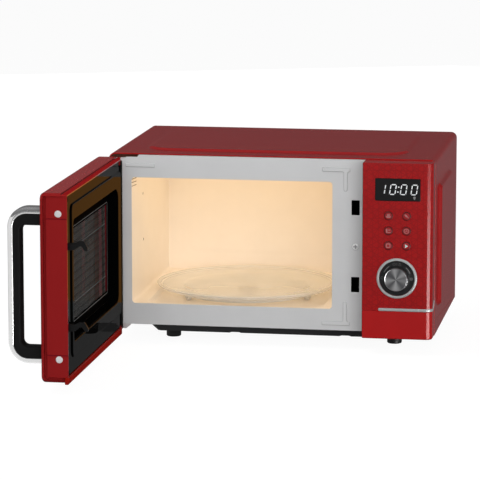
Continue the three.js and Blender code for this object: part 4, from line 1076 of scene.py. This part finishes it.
pocket_hi = stack([lift("x", rr(y0 + 7.4 + i, 200.4 + i, 6.0, z1 - 4.9 - i, (0.8, 0.3, 0.3, 1.2), 5), x) for i, x in ((0, x1 - 1.5), (0.5, x1 - 3.3))])
window_hole = stack([lift("y", rr(40, 34, 292, 192, 6, 6), y0 - 1), lift("y", rr(40, 34, 292, 192, 6, 6), y0 + 12)])
rebate = stack([lift("y", rr(30 - i, 24 - i, 302 + i, 202 + i, 10 + i, 8), y) for i, y in ((1.0, y0 - 1.0), (0.35, y0 + 0.0), (0.0, y0 + 0.4), (0.0, y0 + 3.7))])
top_groove = prism("x", [(y1 - 8.5, z1 + 1), (y1 - 8.5, z1 - 1.6), (y1 - 6.6, z1 - 1.6), (y1 - 5.3, z1 - 0.3), (y1 - 5.3, z1 + 1)], x0 - 1, x1 + 1)
top_slope = prism("x", [(y1 - 5.4, z1 - 0.2), (y1 + 0.5, z1 - 2.3), (y1 + 0.5, z1 + 2), (y1 - 5.4, z1 + 2)], x0 - 1, x1 + 1)
bevel_cut = prism("z", [(x0 - 1, -4.6), (x0 + 0.1, -4.6), (hx, -0.4), (hx, 2), (x0 - 1, 2)], z0 - 1, z1 + 1)
door = raw("door_frame", stack(outer), dor)
carve(door, dor, minus=[hollow_a, hollow_b, edge_field, groove, gutter_hi, gutter_lo, pocket_lo, pocket_hi, window_hole, rebate, top_groove, top_slope, bevel_cut])
carve(
    door,
    dor,
    plus=[
        prism("z", web, z0 + 4.8, z0 + 9.0),
        prism("z", web, 222, 227.4),
        box(330.6, y0 + 8, 208, 336.6, -6, 210.4),
        box(330.6, y0 + 8, 208, 336.6, y0 + 10, z1 - 2),
    ],
    minus=[
        box(x0 - 1, -19.6, z0 - 1, 15.2, 2, -1.2),
        box(x0 - 1, -19.6, 227.4, 15.2, 2, 230.4),
        prism("z", circle(hx, hy, 2.9, 20), -3, 12),
        prism("z", circle(hx, hy, 2.9, 20), 214, 229),
    ],
)
shade(door, 30)
dress(door, "door", M["red_door"], ("door_frame",))
# painted light: the up-facing faces of the door's inner lip and of its top band get lighter copies of the door red
paint_part(door, M["red_door_lip_lit"], lambda c, n: c.x > 14.4 and c.z > z1 - 2.6 and n.z > 0.5)
paint_part(door, M["red_door_top_lit"], lambda c, n: c.x <= 12.2 and c.z > z1 - 0.4 and n.z > 0.97)
# painted shade: thin dark red strips along the steps of the edge pockets
make("door_edge_step_shade", both(*[box(x1 - 3.6, y0 + 7.9, z - 0.55, x1 - 2.12, y1 - 0.1, z + 0.55) for z in (29.0, 200.2)]), "door", M["rim_shade_red"])

# lip along the lower inner edge, and the dark skirt over the flange on the hinge side
make("door_lower_lip", rbox("x", -5.2, -7.9, -0.28, 1.25, 1.3, 14.8, 344.3, 0.5, 0.9, 4), "door", M["red_matte"], angle=40)
make("flange_skirt", prism("z", [(2.2, -4.05), (8.6, -0.58), (9.3, -0.62), (9.3, -2.6), (9.6, -2.6), (9.6, -0.4), (8.85, -0.16), (8.7, -0.18), (2.05, -3.78)], -0.4, 226.4), "door", M["skirt_black"])

make("door_window", rbox("y", 30.4, 24.4, 301.6, 201.6, 9.6, y0 + 3.4, y0 + 0.15, 0.1, 0.45, 8), "door", M["door_glass"], ("door_window",))

# black steel frame inside the door, with the screen opening
steel_outline = [(24, 4), (326, 4), (326, 226), (24, 226), (24, 214), (7, 214), (7, 14), (24, 14)]
make(
    "door_inner_frame",
    both(
        plate("y", steel_outline, [rr(56, 50, 288, 176, 5, 6)], -17.2, -16.0, 0, 0.3, 2),
        plate("y", rr(19, 18, 316, 217, 6, 6), [rr(20.4, 19.4, 314.6, 215.6, 5, 6)], -16.5, -6.4, 0, 0.3, 2),
    ),
    "door", M["door_steel"], ("door_inner_frame",),
)


def screen(xa, za, xb, zb, pitch, hole, ya, yb, margin):
    """Thin sheet with rows of round holes; every other row is shifted by half a pitch."""
    V, F = [], []
    index = {}

    def vert(x, y, z):
        k = (round(x * 1000), round(y * 1000), round(z * 1000))
        if k not in index:
            index[k] = len(V)
            V.append((x, y, z))
        return index[k]

    rows = int((zb - za - 2 * margin) / (pitch * 0.866))
    cols = int((xb - xa - 2 * margin) / pitch) - 1
    sx0 = (xa + xb) / 2 - cols * pitch / 2
    sz0 = (za + zb) / 2 - rows * pitch * 0.866 / 2
    r = hole / 2
    h = pitch * 0.866
    for j in range(rows):
        zc = sz0 + (j + 0.5) * h
        for i in range(cols):
            shift = pitch / 4 if j % 2 else -pitch / 4
            xc = sx0 + (i + 0.5) * pitch
            sq = [(xc - pitch / 2, zc - h / 2), (xc, zc - h / 2), (xc + pitch / 2, zc - h / 2), (xc + pitch / 2, zc), (xc + pitch / 2, zc + h / 2), (xc, zc + h / 2), (xc - pitch / 2, zc + h / 2), (xc - pitch / 2, zc)]
            hx2 = xc + shift * 0.55
            ho = [(hx2 + r * math.cos(a), zc + r * math.sin(a)) for a in (math.radians(225 + 45 * k) for k in range(8))]
            for k in range(8):
                m = (k + 1) % 8
                a, b, c, d = sq[k], sq[m], ho[m], ho[k]
                A = [vert(p[0], ya, p[1]) for p in (a, b, c, d)]
                B = [vert(p[0], yb, p[1]) for p in (a, b, c, d)]
                F.append(tuple(A))
                F.append(tuple(reversed(B)))
                F.append((A[3], A[2], B[2], B[3]))
    xe0, xe1, ze0, ze1 = sx0, sx0 + cols * pitch, sz0, sz0 + rows * h
    # plain margin round the holes
    outer_pts, inner_pts = [], []
    ins = [(xe0 + pitch / 2 * k, ze0) for k in range(2 * cols + 1)] + [(xe1, ze0 + h / 2 * k) for k in range(1, 2 * rows + 1)]
    ins += [(xe1 - pitch / 2 * k, ze1) for k in range(1, 2 * cols + 1)] + [(xe0, ze1 - h / 2 * k) for k in range(1, 2 * rows)]
    for x, z in ins:
        inner_pts.append((x, z))
        ox = xa + (x - xe0) / (xe1 - xe0) * (xb - xa)
        oz = za + (z - ze0) / (ze1 - ze0) * (zb - za)
        outer_pts.append((ox, oz))
    n = len(ins)
    for k in range(n):
        m = (k + 1) % n
        A = [vert(p[0], ya, p[1]) for p in (outer_pts[k], outer_pts[m], inner_pts[m], inner_pts[k])]
        B = [vert(p[0], yb, p[1]) for p in (outer_pts[k], outer_pts[m], inner_pts[m], inner_pts[k])]
        F.append(tuple(A))
        F.append(tuple(reversed(B)))
        F.append((A[1], A[0], B[0], B[1]))
    return V, F


make("door_screen", screen(51, 45, 293, 181, 3.0, 2.2, -15.25, -15.17, 5.5), "door", M["screen_steel"], ("door_screen",), angle=30, weighted=False)

# choke cover: border plate, raised frame with a rounded shoulder, collar down to the screen
a, b, c, d = WIN
cover_outline = [(22, 1.5), (340.9, 1.5), (340.9, 229.8), (22, 229.8), (22, 220.8), (9.5, 220.8), (9.5, 3.4), (22, 3.4)]
border_holes = [rr(15, 22, 314.4, 213.2, 8, 6), rr(329.6, 158, 337.6, 178.4, 0.8, 3), rr(329.6, 56, 337.6, 76.4, 0.8, 3), rr(328.4, 220.6, 334.4, 225.2, 1.6, 4), rr(328.4, 2.6, 334.4, 7.4, 1.6, 4)]


def ring_at(i, y, r=None):
    return lift("y", rr(12.6 + i, 19.6 + i, 316.8 - i, 215.6 - i, max(9 - i * 0.3, 1) if r is None else r, 10), y)


def ring_win(i, y, hinge=0.0):
    """Same count of points as ring_at, round the window; i widens it, hinge widens and rounds the hinge side."""
    r = max(6 + i, 0.6)
    return lift("y", rr(a - i - hinge, c - i, b + i, d + i, (r + hinge * 1.7, r, r, r + hinge * 2.6), 10), y)


BORDER = -2.4
shoulder = [ring_at(-1.0, -4.9)] + [ring_at(i, y) for i, y in ((-1.0, -3.9), (-0.4, -3.4), (0.0, -2.9), (0.35, -2.5), (1.45, -1.25), (1.8, -0.98), (2.2, -0.80), (2.7, -0.70), (3.3, -0.66), (6.4, -0.65))]
shoulder += [ring_win(1.5, -0.65, 4), ring_win(0.9, -0.72, 4), ring_win(0.4, -0.98, 4), ring_win(0.1, -1.4, 4), ring_win(0, -2.0, 3.8), ring_win(-1.15, -14.6), ring_win(-1.1, -14.8), ring_win(1.0, -14.8), ring_win(1.6, -14.0), ring_win(2.6, -3.6, 3.8), ring_win(4.0, -2.6, 4), ring_at(6.4, -2.6), ring_at(4.6, -4.9)]
cover_piece = make(
    "choke_cover",
    both(plate("y", cover_outline, border_holes, -5.4, BORDER, 0.0, 0.35, 3), stack(shoulder, caps=False, loop=True)),
    "door", M["gloss_black"], ("choke_cover",), angle=40,
)
# painted shade: the collar walls facing away from the light are painted flat black
paint_part(cover_piece, M["print_and_shade_black"], lambda c, n: (n.y < -0.5 and -64 < c.y < -36 and 20 < c.z < 190) or (n.y < -0.25 and -324 < c.y < -311 and c.x > 15 and 18 < c.z < 217))
make(
    "inner_film_border",
    both(
        plate("y", rr(40.6, 43.1, 303.4, 190.9, 3.2, 6), [rr(40.9, 57.0, 284.0, 173.2, 0.4, 4)], -14.09, -14.02, 0, 0.02, 1),
    ),
    "door", M["print_and_shade_black"],
)
make(
    "inner_film_bead",
    plate("y", rr(42.0, 53.6, 287.2, 176.6, 3.4, 6), [rr(43.0, 54.6, 286.2, 175.6, 2.6, 6)], -14.03, -13.9, 0, 0.04, 2),
    "door", M["bead_grey"],
)
# painted light and shade: red strips behind the screen stand for the door frame's red walls, a shaded dark red one and
# a lit pink one
make("screen_rim_inner", plate("y", rr(40.5, 46.0, 51.5, 180.0, 1.0, 3), [], -15.9, -15.6, 0, 0.05, 1), "door", M["rim_shade_red"])
make("screen_rim_outer", rbox("y", 56.2, 50.4, 57.1, 175.6, 0.2, -22.6, -18.6, 0, 0), "door", M["rim_lit_pink"])
make("inner_film_ridges", both(rbox("y", 59.8, 149.0, 240.0, 149.8, 0.2, -14.0, -13.6, 0, 0.1, 2), rbox("y", 55.7, 78.1, 240.0, 78.9, 0.2, -14.0, -13.6, 0, 0.1, 2)), "door", M["bead_grey"])
make("inner_film", rbox("y", 40.2, 42.7, 303.8, 191.3, 3.5, -14.6, -14.1, 0, 0.12, 6, 2), "door", M["clear_film"], ("inner_film",))


# latch bar: two hooks with rounded edges on a bar
def hook_outline(dz):
    pts = [(-8, 160.4), (4, 160.4), (6.8, 161.0), (9.4, 163.0), (12.6, 165.6), (15.0, 166.0), (16.2, 165.2), (19.2, 160.6), (20.2, 160.0), (22.0, 160.1), (23.4, 161.2), (23.6, 162.6), (23.2, 164.4), (19.4, 171.0), (18.2, 172.1), (16.8, 172.2), (12.8, 172.2), (11.4, 171.9), (7.4, 169.7), (6.2, 169.4), (-8, 169.4)]
    return [(y, z + dz) for y, z in pts]


def hook(dz):
    o = ccw(hook_outline(dz))
    return stack([lift("x", offset(o, i) if i else o, x) for i, x in edges(331.1, 336.1, 0.55, 0.55, 3)])


make(
    "latch_bar",
    both(hook(0), hook(-102), rbox("z", 330.6, -12.4, 336.6, -6.2, 0.8, 52, 180, 0.4, 0.4, 3), rbox("z", 332.4, -10.4, 334.8, -8.4, 0.4, 179, 186, 0.1, 0.2, 2)),
    "latch", M["hook_black"], ("latch_bar",), angle=45,
)

# latch spring: open coil with closed end turns
cu = bpy.data.curves.new("latch_spring", "CURVE")
cu.dimensions, cu.bevel_depth, cu.bevel_resolution, cu.use_fill_caps = "3D", 0.0005, 3, True
sp = cu.splines.new("POLY")
steps = 140
sp.points.add(steps)
for k in range(steps + 1):
    u = k / steps
    tt = 2 * math.pi * 6.5 * u
    zz = 187.4 + 18.9 * (u if 0.08 < u < 0.92 else (u * 0.6 + 0.032 if u <= 0.08 else 1 - ((1 - u) * 0.6 + 0.032)))
    p = dor((333.6 + 2.6 * math.cos(tt), -9.4 + 2.6 * math.sin(tt), zz))
    sp.points[k].co = (*p, 1)
so = bpy.data.objects.new("latch_spring_tmp", cu)
scene.collection.objects.link(so)
bpy.context.view_layer.update()
sm = bpy.data.meshes.new_from_object(so.evaluated_get(bpy.context.evaluated_depsgraph_get()))
bpy.data.objects.remove(so)
spring = bpy.data.objects.new("latch_spring", sm)
spring.name = "latch_spring_coil"
scene.collection.objects.link(spring)
shade(spring, 60, False)
dress(spring, "door", M["spring_steel"], ("latch_spring",))

# screw caps with a faint moulded cross
for name, z in (("screw_cap_upper", 206.5), ("screw_cap_lower", 23.5)):
    cap = lathe([(0, 343.3), (3.3, 343.3), (3.9, 343.15), (4.3, 342.8), (4.4, 342.3), (4.4, 342.0), (0, 342.0)], 36, "x", -12.2, z)
    cr = [box(343.0, -12.2 - 2.0, z - 0.3, 344, -12.2 + 2.0, z + 0.3), box(343.0, -12.2 - 0.3, z - 2.0, 344, -12.2 + 0.3, z + 2.0)]
    make(name, cap, "door", M["cap_white"], (name,), minus=cr, angle=45)


# handle: bright outer bow and dark grip, both bent to the same U
def bow_path(o, zl, zh, R, y_end, n=16):
    """Points of the outer line with the unit vector pointing away from the door's middle."""
    out = [((y_end, zh), (0, 1))]
    cy, cz = o + R, zh - R
    for k in range(n + 1):
        t = math.radians(90 + 90 * k / n)
        out.append(((cy + R * math.cos(t), cz + R * math.sin(t)), (math.cos(t), math.sin(t))))
    cz = zl + R
    for k in range(n + 1):
        t = math.radians(180 + 90 * k / n)
        out.append(((cy + R * math.cos(t), cz + R * math.sin(t)), (math.cos(t), math.sin(t))))
    out.append(((y_end, zl), (0, -1)))
    return out


def bow(outer_l, inner_l, xa, xb, r_out, r_in):
    """Bar between two U lines, with widely rounded outer edges."""
    rings = []
    for ((ya, za), _), ((yb, zb), _) in zip(outer_l, inner_l):
        T = math.hypot(yb - ya, zb - za)
        ny, nz = (ya - yb) / T, (za - zb) / T
        rings.append([(x, ya + ny * q, za + nz * q) for x, q in rr(xa, -T, xb, 0, (r_in, r_in, r_out, r_out), 8)])
    return stack(rings)


make("handle_bow", bow(bow_path(-79.0, 15.5, 213.2, 26, y0 - 0.3), bow_path(-71.8, 22.6, 205.0, 18.4, y0 - 0.3), 314, 336, 5.6, 0.6), "door", M["handle_chrome"], ("handle_bow",), angle=60)


def grip():
    """Grip under the bow: follows it outside, tighter corners inside, flanks rounded towards the fingers."""
    n = 16
    outer_l = bow_path(-71.7, 22.8, 204.9, 18.3, y0 - 0.3, n)
    inner_l = bow_path(-62.2, 37.4, 190.2, 7.5, y0 - 0.3, n)
    rings = []
    for ((ya, za), _), ((yb, zb), _) in zip(outer_l, inner_l):
        ring = []
        for s, w in ((0.0, 11), (0.3, 11), (0.34, 10.95), (0.5, 10.7), (0.7, 10.3), (0.85, 9.7), (0.95, 8.9), (1.0, 7.6)):
            ring.append((325 + w, ya + (yb - ya) * s, za + (zb - za) * s))
        for s, w in ((1.0, 7.6), (0.95, 8.9), (0.85, 9.7), (0.7, 10.3), (0.5, 10.7), (0.34, 10.95), (0.3, 11), (0.0, 11)):
            ring.append((325 - w, ya + (yb - ya) * s, za + (zb - za) * s))
        rings.append(ring)
    return stack(rings)


make("handle_grip", grip(), "door", M["grip_black"], ("handle_grip",), angle=50)

# ------------------------------------------------------------------ turntable
tx, ty = TRAY
prof = [
    (0, 35.5), (83, 35.5), (84.4, 35.45), (86.5, 35.25), (90, 35.2), (110, 35.2), (113.5, 35.35), (117, 35.9), (120, 36.9), (122.8, 38.6), (124.1, 39.9), (124.7, 41.1),
    (124.75, 41.7), (124.45, 42.2), (123.9, 42.4), (123.2, 42.2), (121.6, 41.4), (119.4, 40.5), (117, 39.8), (113, 39.05), (110, 38.8), (91, 38.8), (89, 38.7), (86.5, 38.3), (84, 38.1), (0, 38.1),
]
make("glass_tray", lathe(prof, 128, "z", tx, ty), nodes["glass_tray"]["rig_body"], M["tray_glass"], ("glass_tray",), angle=70, weighted=False)
# painted highlight: the tray's rim edges are a pale, denser glass standing for bright rim lines
make(
    "tray_rim_edges",
    both(
        lathe([(124.2, 41.2), (124.85, 41.3), (124.95, 41.8), (124.6, 42.4), (123.9, 42.6), (122.9, 42.3), (121.6, 41.65), (120.2, 41.05), (120.2, 40.7), (124.2, 41.2)], 128, "z", tx, ty),
        lathe([(117.0, 39.82), (117.1, 40.0), (118.6, 40.45), (119.0, 40.42), (119.0, 40.2), (117.0, 39.82)], 128, "z", tx, ty),
    ),
    nodes["glass_tray"]["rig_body"], M["tray_rim_highlight"], angle=70, weighted=False,
)
coupler = [lathe([(0, 15), (3.8, 15), (4.1, 15.3), (4.1, 26), (8.6, 26), (9, 26.4), (9, 34.3), (8.4, 34.9), (0, 34.9)], 40, "z", tx, ty)]
for k in range(3):
    ang = 2 * math.pi * k / 3 + 0.5
    ca, sa = math.cos(ang), math.sin(ang)
    V, F = rbox("z", 6.0, -3.5, 15.5, 3.5, 1.6, 27.5, 34.9, 0.3, 0.7, 5)
    coupler.append(([(tx + x * ca - y * sa, ty + x * sa + y * ca, z) for x, y, z in V], F))
make("turntable_coupler", both(*coupler), nodes["turntable_coupler"]["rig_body"], M["coupler_plastic"], ("turntable_coupler",), angle=45)
ROLL0 = -2.44
ringparts = [lathe([(84, 27.4), (84.3, 27), (87.2, 27), (87.5, 27.4), (87.5, 32.6), (87.2, 33), (84.3, 33), (84, 32.6), (84, 27.4)], 120, "z", tx, ty)]
for k in range(3):
    ang = 2 * math.pi * k / 3 + ROLL0
    ca, sa = math.cos(ang), math.sin(ang)

    def turn(geo):
        return [(tx + x * ca - y * sa, ty + x * sa + y * ca, z) for x, y, z in geo[0]], geo[1]

    ringparts.append(turn(lathe([(0, 86), (1.65, 86), (1.65, 97.4), (1.2, 97.9), (0, 98)], 20, "x", 0, 29.75)))
    ringparts.append(turn(rbox("x", -4.5, 27.2, 4.5, 32.8, 1.2, 84.6, 89.4, 0.3, 0.6, 4)))
    rn = ["roller_front", "roller_right", "roller_back"][k]
    wheel = turn(lathe([(2.1, 91), (4.6, 91), (5.1, 91.3), (5.4, 91.9), (5.4, 96.1), (5.1, 96.7), (4.6, 97), (2.1, 97), (2.1, 91)], 40, "x", 0, 29.75))
    make(rn, wheel, nodes[rn]["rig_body"], M["white_plastic"], (rn,), angle=45)
make("roller_ring", both(*ringparts), nodes["roller_ring"]["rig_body"], M["white_plastic"], ("roller_ring",), angle=45)


# ------------------------------------------------------------------ hinges
tongue = [(3.9, 3.2), (3.9, hy), (4.3, hy - 2.0), (5.6, hy - 3.9), (7.2, hy - 4.9), (8.9, hy - 5.1), (10.6, hy - 4.9), (12.2, hy - 3.9), (13.5, hy - 2.0), (13.9, hy), (13.9, 3.2)]


def hinge(zt, sgn, leaf, pin):
    o = ccw(tongue)
    return both(
        stack([lift("z", offset(o, i) if i else o, z) for i, z in edges(zt, zt + 1.8, 0.35, 0.35, 3)]),
        leaf,
        lathe([(0, pin[0]), (2.2, pin[0]), (2.5, pin[0] + 0.3), (2.5, pin[1] - 0.3), (2.2, pin[1]), (0, pin[1])], 28, "z", hx, hy),
    )


low_leaf = plate("y", [(4, -3.6), (22, -3.6), (28, 1.5), (28, 27), (4, 27)], [], 3.2, 1.6, 0.2, 0.2, 2)
up_leaf = plate("y", [(4, 196), (22, 196), (22, 229.8), (4, 229.8)], [], 3.2, 1.6, 0.2, 0.2, 2)
make("lower_hinge", hinge(-3.6, 1, low_leaf, (-3.4, 8)), "cabinet", M["hinge_steel"], ("lower_hinge",))
make("upper_hinge", hinge(228, -1, up_leaf, (218, 229.6)), "cabinet", M["hinge_steel"], ("upper_hinge",))

# ------------------------------------------------------------------ rear: screws, pressed border, gland
rear = []
for x, z in ((14, 12), (14, 118), (14, 222), (426, 12), (426, 118), (426, 222), (220, 226), (220, 10)):
    rear.append(lathe([(0, 289.0), (1.4, 288.95), (2.8, 288.5), (3.6, 287.7), (3.8, 286.9), (3.8, 286.5), (0, 286.5)], 24, "y", x, z))
cuts = []
for x, z in ((14, 12), (14, 118), (14, 222), (426, 12), (426, 118), (426, 222), (220, 226), (220, 10)):
    cuts += [box(x - 2.2, 288.0, z - 0.4, x + 2.2, 290, z + 0.4), box(x - 0.4, 288.0, z - 2.2, x + 0.4, 290, z + 2.2)]
make("rear_screws", both(*rear), "cabinet", M["bright_screw"], minus=cuts, angle=45)
make("rear_pressed_field", both(field("y", 150, 40, 300, 196, 12, 286.75, 1.2, 3.0, sink=0.2)), "cabinet", M["galvanised"], angle=50)
make("cord_gland", lathe([(4, 280), (6.9, 280), (6.9, 287.2), (8.9, 287.2), (9.2, 287.6), (9.2, 289.6), (8.8, 290.2), (7.6, 290.8), (7.2, 292.2), (6.8, 293), (4, 293), (4, 280)], 36, "y", 405, 34), "cabinet", M["black_plastic"], ("cord_gland",), angle=45)

# ------------------------------------------------------------------ CAD nodes that stay: finish by slot, softened edges
slot_of = {s["node"]: s["material_slot"] for s in frame["record"]["subparts"]}
for n, o in nodes.items():
    if o.hide_render:
        continue
    s = slot_of.get(n, "black_plastic")
    mat = M.get(s) or M["black_plastic"]
    o.data.materials.clear()
    o.data.materials.append(mat)
    o.data.shade_smooth()
    o.data.set_sharp_from_angle(angle=math.radians(30))
    width = {"base_pan": 0.9, "rear_panel": 0.25}.get(n, 0.35)
    soften(o, width, 2, 28)
    wn = o.modifiers.new("normals", "WEIGHTED_NORMAL")
    wn.keep_sharp = False

# ------------------------------------------------------------------ floor, lights, camera
FLOOR_Z = min(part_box(n)[0].z for n in ("foot_front_left", "foot_front_right", "foot_rear_left", "foot_rear_right"))
bm = bmesh.new()
bmesh.ops.create_grid(bm, x_segments=8, y_segments=8, size=30)
fme = bpy.data.meshes.new("floor")
bm.to_mesh(fme)
bm.free()
floor = bpy.data.objects.new("floor", fme)
floor.location = (0.15, 0, FLOOR_Z - 0.0002)
scene.collection.objects.link(floor)
fm = bpy.data.materials.new("studio_floor")
fm.use_nodes = True
ft = fm.node_tree
ft.nodes.clear()
out = ft.nodes.new("ShaderNodeOutputMaterial")
mixs = ft.nodes.new("ShaderNodeMixShader")
mixs.inputs["Fac"].default_value = 0.84
dif = ft.nodes.new("ShaderNodeBsdfDiffuse")
dif.inputs["Color"].default_value = (0.85, 0.85, 0.85, 1)
emi = ft.nodes.new("ShaderNodeEmission")
emi.inputs["Color"].default_value = (1, 1, 1, 1)
emi.inputs["Strength"].default_value = 1.12
_link(ft, dif.outputs["BSDF"], mixs.inputs[1])
_link(ft, emi.outputs["Emission"], mixs.inputs[2])
# what the floor sends to the object is a plain mid grey, so that the object isn't lit from below
lp = ft.nodes.new("ShaderNodeLightPath")
mix2 = ft.nodes.new("ShaderNodeMixShader")
dim = ft.nodes.new("ShaderNodeBsdfDiffuse")
dim.inputs["Color"].default_value = (0.22, 0.22, 0.22, 1)
_link(ft, lp.outputs["Is Camera Ray"], mix2.inputs["Fac"])
_link(ft, dim.outputs["BSDF"], mix2.inputs[1])
_link(ft, mixs.outputs["Shader"], mix2.inputs[2])
_link(ft, mix2.outputs["Shader"], out.inputs["Surface"])
fme.materials.append(fm)
floor.visible_glossy = False

world = bpy.data.worlds.new("studio")
scene.world = world
world.use_nodes = True
wt = world.node_tree
wt.nodes.clear()
wout = wt.nodes.new("ShaderNodeOutputWorld")
bg_cam = wt.nodes.new("ShaderNodeBackground")
bg_cam.inputs["Color"].default_value = (1, 1, 1, 1)
bg_cam.inputs["Strength"].default_value = 1.0
bg_env = wt.nodes.new("ShaderNodeBackground")
bg_env.inputs["Strength"].default_value = 1.0
tc = wt.nodes.new("ShaderNodeTexCoord")
sepw = wt.nodes.new("ShaderNodeSeparateXYZ")
_link(wt, tc.outputs["Generated"], sepw.inputs["Vector"])
rampw = wt.nodes.new("ShaderNodeValToRGB")
rampw.color_ramp.elements[0].position = 0.0
rampw.color_ramp.elements[0].color = (0.145, 0.145, 0.148, 1)
rampw.color_ramp.elements[1].position = 1.0
rampw.color_ramp.elements[1].color = (0.20, 0.20, 0.205, 1)
for at, v in ((0.10, 0.092), (0.5, 0.10)):
    e2 = rampw.color_ramp.elements.new(at)
    e2.color = (v, v, v * 1.02, 1)
_link(wt, sepw.outputs["Z"], rampw.inputs["Fac"])
_link(wt, rampw.outputs["Color"], bg_env.inputs["Color"])
wl = wt.nodes.new("ShaderNodeLightPath")
wm = wt.nodes.new("ShaderNodeMixShader")
_link(wt, wl.outputs["Is Camera Ray"], wm.inputs["Fac"])
_link(wt, bg_env.outputs["Background"], wm.inputs[1])
_link(wt, bg_cam.outputs["Background"], wm.inputs[2])
_link(wt, wm.outputs["Shader"], wout.inputs["Surface"])

CENTRE = cab((220, 60, 110))


def area(name, azimuth, elevation, dist, size, size_y, level, target=None, color=(1, 1, 1), at=None, spread=None):
    """Softbox seen from the object at azimuth (0 = front, 90 = right) and elevation; level is the brightness it gives a facing white surface."""
    target = target or CENTRE
    a, e = math.radians(azimuth), math.radians(elevation)
    way = Vector((math.sin(a) * math.cos(e), -math.cos(a) * math.cos(e), math.sin(e)))
    ld = bpy.data.lights.new(name, "AREA")
    ld.shape = "RECTANGLE"
    ld.size, ld.size_y = size, size_y
    ld.energy = level * math.pi**2 * dist**2
    ld.color = color
    if spread:
        ld.spread = math.radians(spread)
    o = bpy.data.objects.new(name, ld)
    o.location = target + way * dist if at is None else at
    o.rotation_mode = "QUATERNION"
    o.rotation_quaternion = (-way).to_track_quat("-Z", "Y")
    o.visible_camera = False
    o.visible_glossy = False
    scene.collection.objects.link(o)
    return o


area("front", 14, 10, 3.2, 3.4, 2.2, 0.79)
area("right", 86, 6, 3.2, 2.2, 1.8, 0.45)
area("rear", -160, 10, 3.2, 2.2, 1.8, 0.30)
area("left_side", -84, 8, 3.0, 2.2, 1.8, 0.28)
area("above", -60, 62, 1.7, 1.2, 1.2, 0.30)


def board(name, corners, color, strength):
    """Bright sheet seen only in reflections, given by its four corners in cabinet millimetres."""
    me = bpy.data.meshes.new(name)
    me.from_pydata([cab(c) for c in corners], [], [(0, 1, 2, 3)])
    o = bpy.data.objects.new(name, me)
    scene.collection.objects.link(o)
    m = bpy.data.materials.new(name)
    m.use_nodes = True
    m.node_tree.nodes.clear()
    e = m.node_tree.nodes.new("ShaderNodeEmission")
    e.inputs["Color"].default_value = (*color, 1)
    e.inputs["Strength"].default_value = strength
    q = m.node_tree.nodes.new("ShaderNodeOutputMaterial")
    _link(m.node_tree, e.outputs["Emission"], q.inputs["Surface"])
    m.cycles.emission_sampling = "NONE"
    me.materials.append(m)
    o.visible_camera = o.visible_diffuse = o.visible_shadow = o.visible_transmission = o.visible_volume_scatter = False
    return o


def card(name, azimuth, elev, dist, width, height, strength):
    """Bright board seen only in reflections, standing at azimuth with its middle at elev degrees."""
    a = math.radians(azimuth)
    way = Vector((math.sin(a), -math.cos(a), 0))
    side = Vector((math.cos(a), math.sin(a), 0))
    mid = CENTRE + way * dist + Vector((0, 0, dist * math.tan(math.radians(elev))))
    me = bpy.data.meshes.new(name)
    me.from_pydata([mid + side * (sx * width / 2) + Vector((0, 0, sz * height / 2)) for sx, sz in ((-1, -1), (1, -1), (1, 1), (-1, 1))], [], [(0, 1, 2, 3)])
    o = bpy.data.objects.new(name, me)
    scene.collection.objects.link(o)
    m = bpy.data.materials.new(name)
    m.use_nodes = True
    m.node_tree.nodes.clear()
    e = m.node_tree.nodes.new("ShaderNodeEmission")
    e.inputs["Strength"].default_value = strength
    q = m.node_tree.nodes.new("ShaderNodeOutputMaterial")
    _link(m.node_tree, e.outputs["Emission"], q.inputs["Surface"])
    me.materials.append(m)
    o.visible_camera = o.visible_diffuse = o.visible_shadow = o.visible_transmission = o.visible_volume_scatter = False
    return o


card("edge_card", 46, -22, 3.2, 2.8, 1.7, 11.0)
# what the glossy inner side of the open door mirrors: the lit cavity and the pale floor before the cabinet
board("cavity_glow", [(22.0, -0.3, 32), (302.4, -0.3, 32), (302.4, -0.3, 203.3), (22.0, -0.3, 203.3)], (1.0, 0.437, 0.10), 0.90)
board("floor_glow", [(26, -350, -21), (288, -350, -21), (288, 60, -21), (26, 60, -21)], (1.0, 1.0, 1.0), 0.30)
board("front_glow", [(22, -352, -21), (-260, -2052, -21), (-1000, -2052, -21), (-420, -352, -21)], (1.0, 1.0, 1.0), 0.80)
board("handle_glow", [(-25, -351, -21.2), (-420, -351, -21.2), (-420, -120, -21.2), (-25, -120, -21.2)], (1.0, 1.0, 1.0), 0.95)
board("left_glow", [(-760, -1700, -300), (-760, 250, -300), (-760, 250, 420), (-760, -1700, 420)], (1.0, 1.0, 1.0), 0.78)

# oven lamp: warm, spread over the cavity's ceiling
ld = bpy.data.lights.new("oven_lamp", "AREA")
ld.shape = "RECTANGLE"
ld.size, ld.size_y = 0.262, 0.25
ld.energy = 0.188
ld.color = (1.0, 0.76, 0.45)
lamp = bpy.data.objects.new("oven_lamp", ld)
lamp.location = cab((163.0, 135, 203.6))
lamp.visible_camera = False
lamp.visible_glossy = False
scene.collection.objects.link(lamp)

cam_data = bpy.data.cameras.new("camera")
cam_data.lens, cam_data.sensor_width = 227.87, 36
cam_data.clip_start, cam_data.clip_end = 0.1, 100
cam = bpy.data.objects.new("camera", cam_data)
cam.location = cab((836.65, -3951.68, 791.67))
cam.rotation_euler = (math.radians(90 - 9.49), math.radians(0.0), math.radians(9.46))
scene.collection.objects.link(cam)
scene.camera = cam
scene.view_settings.view_transform = "Standard"
scene.view_settings.look = "None"
scene.render.film_transparent = False

bpy.context.view_layer.update()
